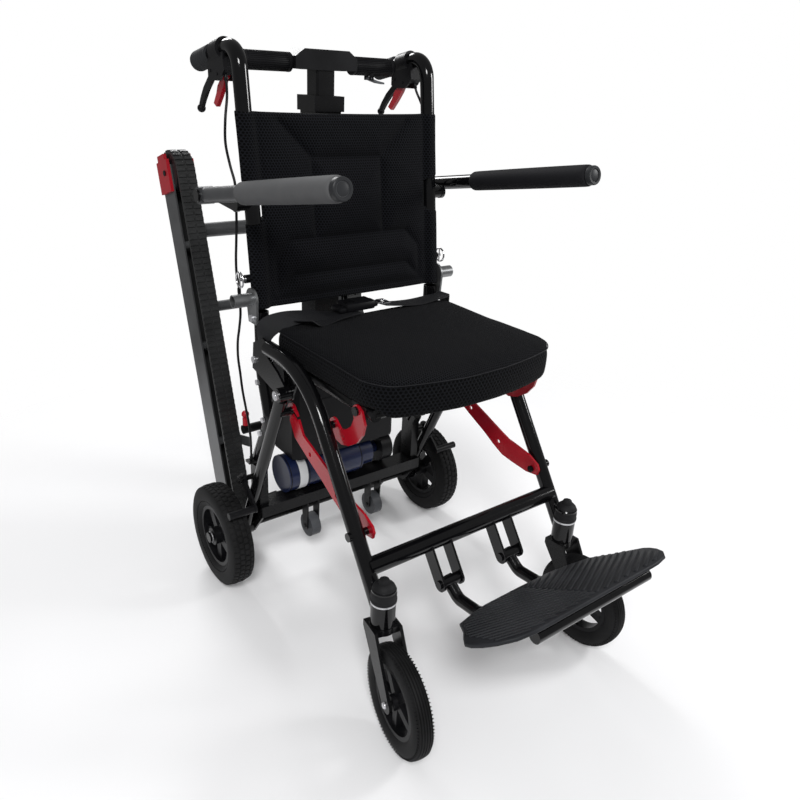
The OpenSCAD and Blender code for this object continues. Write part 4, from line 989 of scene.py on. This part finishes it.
def front_tyre(side, sign):
    centre, axis = caster_spot(side, 0, TRAIL, FRONT_R), caster_axis(side)
    half, r, rim = FRONT_W / 2, FRONT_R, FRONT_RIM
    outline = [(rim, -half * 0.7), (rim + 3, -half * 0.86), (rim + 9, -half), (rim + 15, -half * 0.985),
               (r - 9, -half * 0.9), (r - 5.2, -half * 0.76), (r - 4.6, -half * 0.7)]
    for along in (-0.56, -0.28, 0.0):
        crown = r - 3.6 * along * along - 0.4
        outline += [(crown, half * (along - 0.07)), (crown - 1.4, half * (along - 0.03)),
                    (crown - 1.4, half * (along + 0.03)), (crown, half * (along + 0.07))]
    bm = turned(mirrored(outline[:-2], None), centre, axis, 96)
    for flank in (-1, 1):
        verts = block(bm, (2.6, 1.3, 4.4), Vector((flank * half * 0.78, 0, r - 6.4)) * MM, 0.3,
                      turn_by(34 * flank, "Y"))
        bmesh.ops.rotate(bm, verts=verts, cent=(0, 0, 0), matrix=turn_by(CASTERS[side][1], "Z"))
        bmesh.ops.translate(bm, vec=centre, verts=verts)
        around(bm, verts, centre, axis, SHOULDER_CUTS)
    return piece("front_tread_" + side, bm, tyre_rubber, "front_wheel_" + side,
                 ["front_tyre_" + side])


print("front tyre faces:", [len(front_tyre(*s).data.polygons) for s in SIDES])

# %% [markdown]
# ## Track belts
# Each crawler track is an endless toothed rubber belt. Its outside has a rib
# every dozen millimetres with a shallow groove along the middle. The plain belt
# is a loop: two straight runs joined by two half turns. The ribs follow the same
# loop, standing square to it.

# %% Track belts
TRACK_X, TRACK_W, TRACK_LEN = 169.5, 36.4, 698.0
BELT_OUT, BELT_THICK, RIB_STEP, RIB_HIGH, LOOP_STATIONS = 42.5, 6.0, 11.6, 2.4, 150
CRAWLER_TURN = turn_by(-16.2, "X")
DRUM = spot(0, -106, 62)
CRAWLER_UP = CRAWLER_TURN @ Vector((0, 0, 1))
CRAWLER_OUT = CRAWLER_TURN @ Vector((0, 1, 0))


def track_place(run, radius):
    """The place and the outward way at run millimetres along the loop of the belt."""
    bend = math.pi * radius
    run = run % (2 * TRACK_LEN + 2 * bend)
    if run < TRACK_LEN:
        return DRUM + (CRAWLER_OUT * radius + CRAWLER_UP * run) * MM, CRAWLER_OUT
    if run < TRACK_LEN + bend:
        way = (run - TRACK_LEN) / radius
        out = CRAWLER_OUT * math.cos(way) + CRAWLER_UP * math.sin(way)
        return DRUM + (CRAWLER_UP * TRACK_LEN + out * radius) * MM, out
    if run < 2 * TRACK_LEN + bend:
        back = 2 * TRACK_LEN + bend - run
        return DRUM + (CRAWLER_UP * back - CRAWLER_OUT * radius) * MM, -CRAWLER_OUT
    way = (run - 2 * TRACK_LEN - bend) / radius
    out = -CRAWLER_OUT * math.cos(way) - CRAWLER_UP * math.sin(way)
    return DRUM + out * radius * MM, out


def track_belt(sign):
    bm = bmesh.new()
    side = Vector((1, 0, 0))
    middle = BELT_OUT - RIB_HIGH - (BELT_THICK - RIB_HIGH) / 2
    loop = 2 * TRACK_LEN + 2 * math.pi * middle
    rings = []
    for k in range(LOOP_STATIONS):
        place, out = track_place(loop * k / LOOP_STATIONS, middle)
        place = place + side * sign * TRACK_X * MM
        half, thick = side * (TRACK_W / 2 - 0.4) * MM, out * (BELT_THICK - RIB_HIGH) / 2 * MM
        ring = [bm.verts.new(place + a * half + b * thick) for a, b in ((-1, -1), (1, -1), (1, 1), (-1, 1))]
        rings.append([bm.edges.new((ring[i], ring[(i + 1) % 4])) for i in range(4)])
    for k in range(LOOP_STATIONS):
        bmesh.ops.bridge_loops(bm, edges=rings[k] + rings[(k + 1) % LOOP_STATIONS])
    outer = 2 * TRACK_LEN + 2 * math.pi * BELT_OUT
    ribs = round(outer / RIB_STEP)
    for k in range(ribs):
        place, out = track_place(outer * (k + 0.5) / ribs, BELT_OUT)
        turn = Matrix((side, out.cross(side), out)).transposed()
        for flank in (-1, 1):
            verts = block(bm, (TRACK_W / 2 - 2.4, RIB_STEP * 0.56, RIB_HIGH + 1.0),
                          Vector((flank * (TRACK_W / 4 + 0.5), 0, -(RIB_HIGH + 1.0) / 2)) * MM)
            top = [e for v in verts for e in v.link_edges if all(w.co.z > -0.0002 for w in e.verts)]
            bmesh.ops.rotate(bm, verts=verts, cent=(0, 0, 0), matrix=turn)
            bmesh.ops.translate(bm, vec=place + side * sign * TRACK_X * MM, verts=verts)
            soften(bm, list(set(top)), 0.7, 1)
    bmesh.ops.recalc_face_normals(bm, faces=bm.faces)
    return bm


belts = piece("ribbed_belts", both(track_belt), belt_rubber_painted_sheen, "crawler_unit", ["track_belts"])
print("belt faces:", len(belts.data.polygons))

# %% [markdown]
# ## Armrest pads
# A tube of closed-cell foam pushed over each armrest tube. The right one has
# faded to grey and the left is still black. Foam has no sharp edges, so the
# outline turns in softly at both ends, and is very slightly fuller in the
# middle. A plastic plug with a raised ring closes the tube.

# %% Armrest pads
ARM_X, ARM_SLOPE = 232.0, math.radians(9.2)
ARM_WAY = Vector((0, -math.cos(ARM_SLOPE), math.sin(ARM_SLOPE)))
PAD_FROM, PAD_LONG, PAD_R = 141.0, 264.0, 17.0


def armrest(side, sign):
    base = spot(sign * ARM_X, -30, 732)
    a, b, r = PAD_FROM, PAD_FROM + PAD_LONG, PAD_R
    outline = [(12.7, a + 0.4), (r - 2.6, a + 0.2), (r - 1.0, a + 1.2), (r - 0.3, a + 3.4), (r - 0.05, a + 9)]
    outline += [(r + 0.25 * math.sin(math.pi * k / 6), a + 9 + (b - a - 18) * k / 6) for k in range(1, 6)]
    outline += [(r - 0.05, b - 9), (r - 0.3, b - 3.4), (r - 1.0, b - 1.2), (r - 2.6, b - 0.2), (12.7, b - 0.4)]
    outline.append(outline[0])
    pad = piece("foam_pad_" + side, turned(outline, base, ARM_WAY, 56),
                grey_foam if side == "right" else black_foam, "armrest_" + side,
                ["armrest_pad_" + side])
    cap = [(0, b + 9.4), (8.0, b + 9.4), (9.0, b + 8.9), (9.6, b + 8.9), (10.2, b + 10.2), (13.2, b + 10.4),
           (14.4, b + 9.6), (14.9, b + 8.0), (14.9, b + 1.6), (14.0, b + 0.6), (0, b + 0.6)]
    plug = piece("armrest_plug_" + side, turned(cap, base, ARM_WAY, 56), plate_plastic,
                 "armrest_" + side)
    return pad, plug


print("armrests:", [armrest(*s)[0].name for s in SIDES])

# %% [markdown]
# ## Push grips and bar grips
# Both kinds of grip are moulded sleeves with a collar at the inner end. A push
# grip has shallow rings, which are notches in its turned outline. A bar grip has
# lengthwise flutes, so one thin bar is laid round it many times.

# %% Grips
GRIP_TILT = math.radians(10.7)
GRIP_WAY = Vector((0, math.cos(GRIP_TILT), -math.sin(GRIP_TILT)))
GRIP_CORNER = spot(0, HINGE_AHEAD - (959 - HINGE_UP) * LEAN, 959)
BAR_Z, BAR_AHEAD, BAR_R, FLUTES = 937.0, -53.0, 15.5, 30


def ringed(start, end, radius, bore, rings, notch, cap):
    """A push grip's outline from start to end along its axis: rings with notches, and a closed end cap deep."""
    outline = [(bore, start), (radius, start), (radius, start + 4), (radius - notch, start + 5),
               (radius - notch, start + 6.5)]
    pitch = (end - start - 16) / rings
    for k in range(rings):
        at = start + 7 + pitch * k
        outline += [(radius - 0.5, at), (radius - 0.1, at + pitch * 0.22), (radius - 0.1, at + pitch * 0.6),
                    (radius - 0.5, at + pitch * 0.8), (radius - notch, at + pitch * 0.88)]
    return outline + [(radius - 0.2, end - 7), (radius, end - 5), (radius - 0.4, end - 2.4), (radius - 1.8, end - 0.6),
                      (radius - 4, end), (0.0, end), (0.0, end - cap), (bore, end - cap), (bore, start)]


def push_grip(sign):
    start = GRIP_CORNER + Vector((sign * CANE_X, 0, 0)) * MM
    return turned(ringed(92.4, 152.0, 16.4, 12.6, 5, 0.45, 7.0), start, GRIP_WAY, 48)


piece("push_grip_rubber", both(push_grip), grip_rubber, "back", ["push_grips"])

bm = bmesh.new()
middle = spot(0, BAR_AHEAD, BAR_Z)
for _, sign in SIDES:
    body = [(9.2, 61.4), (15.2, 61.4), (15.5, 62.2), (15.5, 66.0), (14.3, 67.0), (14.3, 143.0), (15.5, 144.0),
            (15.5, 148.4), (14.6, 150.0), (0.0, 150.0), (0.0, 141.0), (9.2, 141.0), (9.2, 61.4)]
    add(bm, turned(body, middle, (sign, 0, 0), 48))
    flute = block(bm, (74, 1.9, 1.6), middle + Vector((sign * 105, 0, 14.4)) * MM, 0.5)
    around(bm, flute, middle, (1, 0, 0), FLUTES)
for lug in (6.5, -9.5):
    block(bm, (9, 3, 15), Vector((101.5, AXLE_Y - BAR_AHEAD + lug + 1.5, BAR_Z - BAR_R + 0.8)) * MM, 0.8)
piece("bar_grip_rubber", bm, cast_black, "handle", ["handle_grips"])
print("grips made")

# %% [markdown]
# ## Brake cables
# A cable in its black outer sleeve runs from each lever perch, down behind the
# sleeve of the backrest, through the hinge bracket and on to the tyre brake. It
# is clamped at both ends, so it is a part of the frame rather than a free cord.
# A curve with a round bevel gives the tube, and a mesh is made from it.

# %% Brake cables
LOW_CABLE = [(205, 24, 577.7), (205, 25, 560), (206, 27, 541), (207, 22, 515), (207, 14, 490), (207, 12, 460),
             (206, 16, 430), (206, 22, 400), (205, 30, 370), (204, 38, 340), (203, 41, 310), (201, 37, 285),
             (200, 34, 262.1)]
HIGH_CABLE = [(188, -28, 912.9), (189, -24, 900), (194, -14, 880), (202, -6, 850), (205, -3, 815), (203, 6, 782),
              (202, 18, 758), (202, 20, 735), (203, 21, 700), (205, 21, 665), (206, 19, 635), (206, 19, 610),
              (205, 23, 590), (205, 24, 578)]


CABLE_R = 2.15


def cable_pair(name, route, body, node):
    bm = bmesh.new()
    for _, sign in SIDES:
        way = curve_way([spot(sign * x, a, z) for x, a, z in route], 6)
        add(bm, sleeve(way, CABLE_R))
        for end, inward in ((way[0], way[3]), (way[-1], way[-4])):
            tip = (inward - end).normalized()
            add(bm, turned([(0, 0.3), (2.9, 0.3), (3.1, 1.2), (3.1, 8.0), (2.5, 9.0), (0, 9.0)], end, tip, 20,
                           (1, 0.1, 0.1)))
    return piece(name, bm, cable_skin, body, [node])


cable_pair("low_cable_sleeves", LOW_CABLE, "rear_frame", "brake_cables")
cable_pair("high_cable_sleeves", HIGH_CABLE, "back", "back_cables")
print("cables made")

# %% [markdown]
# ## Small trims
# Details that sit on a CAD part without changing it: the white band and the
# seams round the motor, and the reflector on each fork. Each is its own small
# piece on the body that carries it.

# %% Motor band and reflectors
MOTOR, MOTOR_R = spot(0, 17, 203), 37.4


def hoop(bm, middle, half, high):
    """A low ring round the motor, half as wide and high millimetres proud."""
    outline = [(MOTOR_R, middle - half), (MOTOR_R + high, middle - half + 0.4), (MOTOR_R + high, middle + half - 0.4),
               (MOTOR_R, middle + half), (MOTOR_R, middle - half)]
    return add(bm, turned(outline, MOTOR, (1, 0, 0), 96))


piece("motor_band", hoop(bmesh.new(), -99, 9, 0.55), white_band, "rear_frame")
bm = bmesh.new()
for seam in (-126.0, -86.5, 36.0):
    hoop(bm, seam, 1.2, 0.6)
piece("motor_rings", bm, cast_black, "rear_frame")


def fork_reflector(side, sign):
    """A small lens let into the outer cheek of the fork."""
    bm = bmesh.new()
    place = caster_spot(side, sign * 19.2, 30, 128)
    block(bm, (1.6, 6.5, 20), place, 0.7, turn_by(CASTERS[side][1], "Z") @ turn_by(38, "X"))
    return piece("fork_reflector_" + side, bm, amber if side == "right" else red_plastic,
                 "caster_" + side)


print("reflectors:", [fork_reflector(*s).name for s in SIDES])

# %% [markdown]
# ## Caps and nuts
# The caster stems end in rubber domes with a nub on top. The rear axle carries a
# bright nut at each end and the front axles a small bolt head. All are turned.

# %% Caps and nuts
DOME = [(0, 262.5), (4.4, 261.9), (7.2, 260.2), (8.4, 257.4), (8.8, 254.6), (12.6, 253.0), (16.4, 249.0),
        (18.6, 243.4), (19.5, 238.0), (19.5, 229.0), (20.2, 228.0), (20.2, 225.0), (19.2, 224.4), (0, 224.4)]
RING = [(19.0, 220.6), (19.7, 220.8), (19.7, 223.6), (19.0, 223.8), (19.0, 220.6)]
NUT = [(0, 278.6), (5.0, 278.4), (7.6, 277.2), (8.6, 275.2), (10.6, 274.8), (10.8, 273.4), (10.2, 272.9), (0, 272.9)]
HEAD = [(0, 26.9), (3.4, 26.7), (4.6, 25.8), (5.0, 24.6), (5.0, 23.4), (0, 23.4)]


def on_stem(outline):
    """The outline turned about each caster's stem."""
    return both(lambda sign: turned(outline, spot(sign * STEM_X, CASTER_AHEAD, 0), (0, 0, 1), 48, (1, 0, 0)))


piece("stem_domes", on_stem(DOME), rubber, "front_frame")
piece("stem_rings", on_stem(RING), steel, "front_frame")
nuts = both(lambda sign: turned(NUT, spot(0, 0, REAR_R), (sign, 0, 0), 24))
piece("axle_nuts", nuts, steel, "rear_frame")
for side, _ in SIDES:
    hub, way = caster_spot(side, 0, TRAIL, FRONT_R), caster_axis(side)
    heads = both(lambda flank: turned(HEAD, hub, way * flank, 20))
    piece("wheel_bolts_" + side, heads, steel, "front_wheel_" + side)
print("caps and nuts made")

# %% [markdown]
# ## Footplate
# A moulded plate with a soft rounded rim and a chevron of parallel ribs that
# cover its whole top. The plate is its outline pulled down to its thickness.
# Each rib runs from the middle line outwards, and is cut off where it would
# reach the rim.

# %% Footplate
FOOT_DEGREES, RIB_DEGREES = 31.0, 30.0
FOOT_TILT, RIB_ANGLE = math.radians(FOOT_DEGREES), math.radians(RIB_DEGREES)
PLATE_NEAR = [(0, 27), (70, 29), (100, 37), (140, 53), (160, 86), (178, 108), (190, 125)]
PLATE_FAR = [(191, 138), (186, 155), (175, 173), (155, 190), (130, 197), (115, 198), (0, 198)]
PLATE_THICK, RIB_PITCH, RIB_WIDE, RIB_UP = 6.0, 12.8, 6.0, 3.0
FIRST_RIB, MOST_RIBS, RIM = 34.0, 34, 7.0


def foot_spot(x, deep, high):
    """A point on the tilted plate: x left, deep along it and high above its top."""
    back = -deep * math.cos(FOOT_TILT) + high * math.sin(FOOT_TILT)
    up = deep * math.sin(FOOT_TILT) + high * math.cos(FOOT_TILT)
    return spot(0, 508, 197) + Vector((x, back, up)) * MM


def along(points, x):
    """The second number of points where the first is x."""
    points = sorted(points)
    for (xa, ya), (xb, yb) in zip(points, points[1:]):
        if xa <= x <= xb:
            return ya + (yb - ya) * (x - xa) / (xb - xa)
    return points[-1][1] if x > points[-1][0] else points[0][1]


def on_plate(x, deep):
    x = abs(x)
    return x < 183 and along(PLATE_NEAR, x) + RIM < deep < along(PLATE_FAR, x) - RIM


def footplate():
    bm = bmesh.new()
    half = PLATE_NEAR + PLATE_FAR
    outline = half + [(-x, d) for x, d in reversed(half[1:-1])]
    top = bm.faces.new([bm.verts.new(foot_spot(x, d, 0)) for x, d in outline])
    down = foot_spot(0, 0, -PLATE_THICK) - foot_spot(0, 0, 0)
    new = bmesh.ops.extrude_face_region(bm, geom=[top])["geom"]
    bmesh.ops.translate(bm, vec=down, verts=[v for v in new if isinstance(v, bmesh.types.BMVert)])
    bmesh.ops.recalc_face_normals(bm, faces=bm.faces)
    rim = [e for e in bm.edges if len(e.link_faces) == 2 and e.calc_face_angle() > 1.2]
    soften(bm, rim, 2.2, 4)
    tilt = turn_by(-FOOT_DEGREES, "X")
    for sign in (-1, 1):
        for k in range(MOST_RIBS):
            deep = FIRST_RIB + RIB_PITCH * k
            inside = [t for t in range(2, 200, 2)
                      if on_plate(t * math.cos(RIB_ANGLE), deep - t * math.sin(RIB_ANGLE))]
            if len(inside) < 5:
                continue
            a, b = inside[0], inside[-1]
            mid = (a + b) / 2
            turn = tilt @ turn_by(sign * RIB_DEGREES, "Z")
            block(bm, (b - a, RIB_WIDE, RIB_UP),
                  foot_spot(sign * mid * math.cos(RIB_ANGLE), deep - mid * math.sin(RIB_ANGLE), 0.3), 1.1, turn)
    return piece("footplate_tread", bm, dark_plate, "footrest", ["footplate"], 50)


print("footplate faces:", len(footplate().data.polygons))

# %% [markdown]
# ## Finishes for the CAD parts
# Most parts keep their CAD solids, which are exact. Each solid carries the name
# of its material slot, so a table from slot to finish dresses them all. A few
# nodes that the photograph shows differently get their own line.

# %% Dress the CAD parts
BY_SLOT = {
    "gloss_black_paint": gloss_black, "grey_aluminium": grey_alloy, "navy_paint": navy,
    "black_plastic": cast_black, "grey_plastic": grey_plastic, "bright_steel": steel,
    "chrome_steel": chrome, "red_paint": red_paint, "red_plastic": red_plastic,
    "black_rubber": rubber, "tyre_rubber": tyre_rubber, "seat_fabric": back_mesh,
    "belt_fabric": strap_web,
}
BY_NODE = {"hinge_brackets": pale_alloy, "footplate": dark_plate, "track_rails": rail_paint,
           "drive_trigger": grey_plastic, "armrest_tube_right": arm_grey}
SATIN_NODES = "caster_fork_right caster_fork_left handle_stem handle_post undercarriage seat_frame"
for names, look in ((SATIN_NODES, satin_black), ("track_idlers drive_shaft buckle_button", cast_black),
                    ("guide_wheel_right guide_wheel_left", guide_grey)):
    BY_NODE.update(dict.fromkeys(names.split(), look))
for name, node in frame["nodes"].items():
    for slot in node.material_slots:
        slot.material = BY_NODE.get(name) or BY_SLOT[slot.material.name.split(".")[0]]
print("dressed:", len(frame["nodes"]), "nodes")
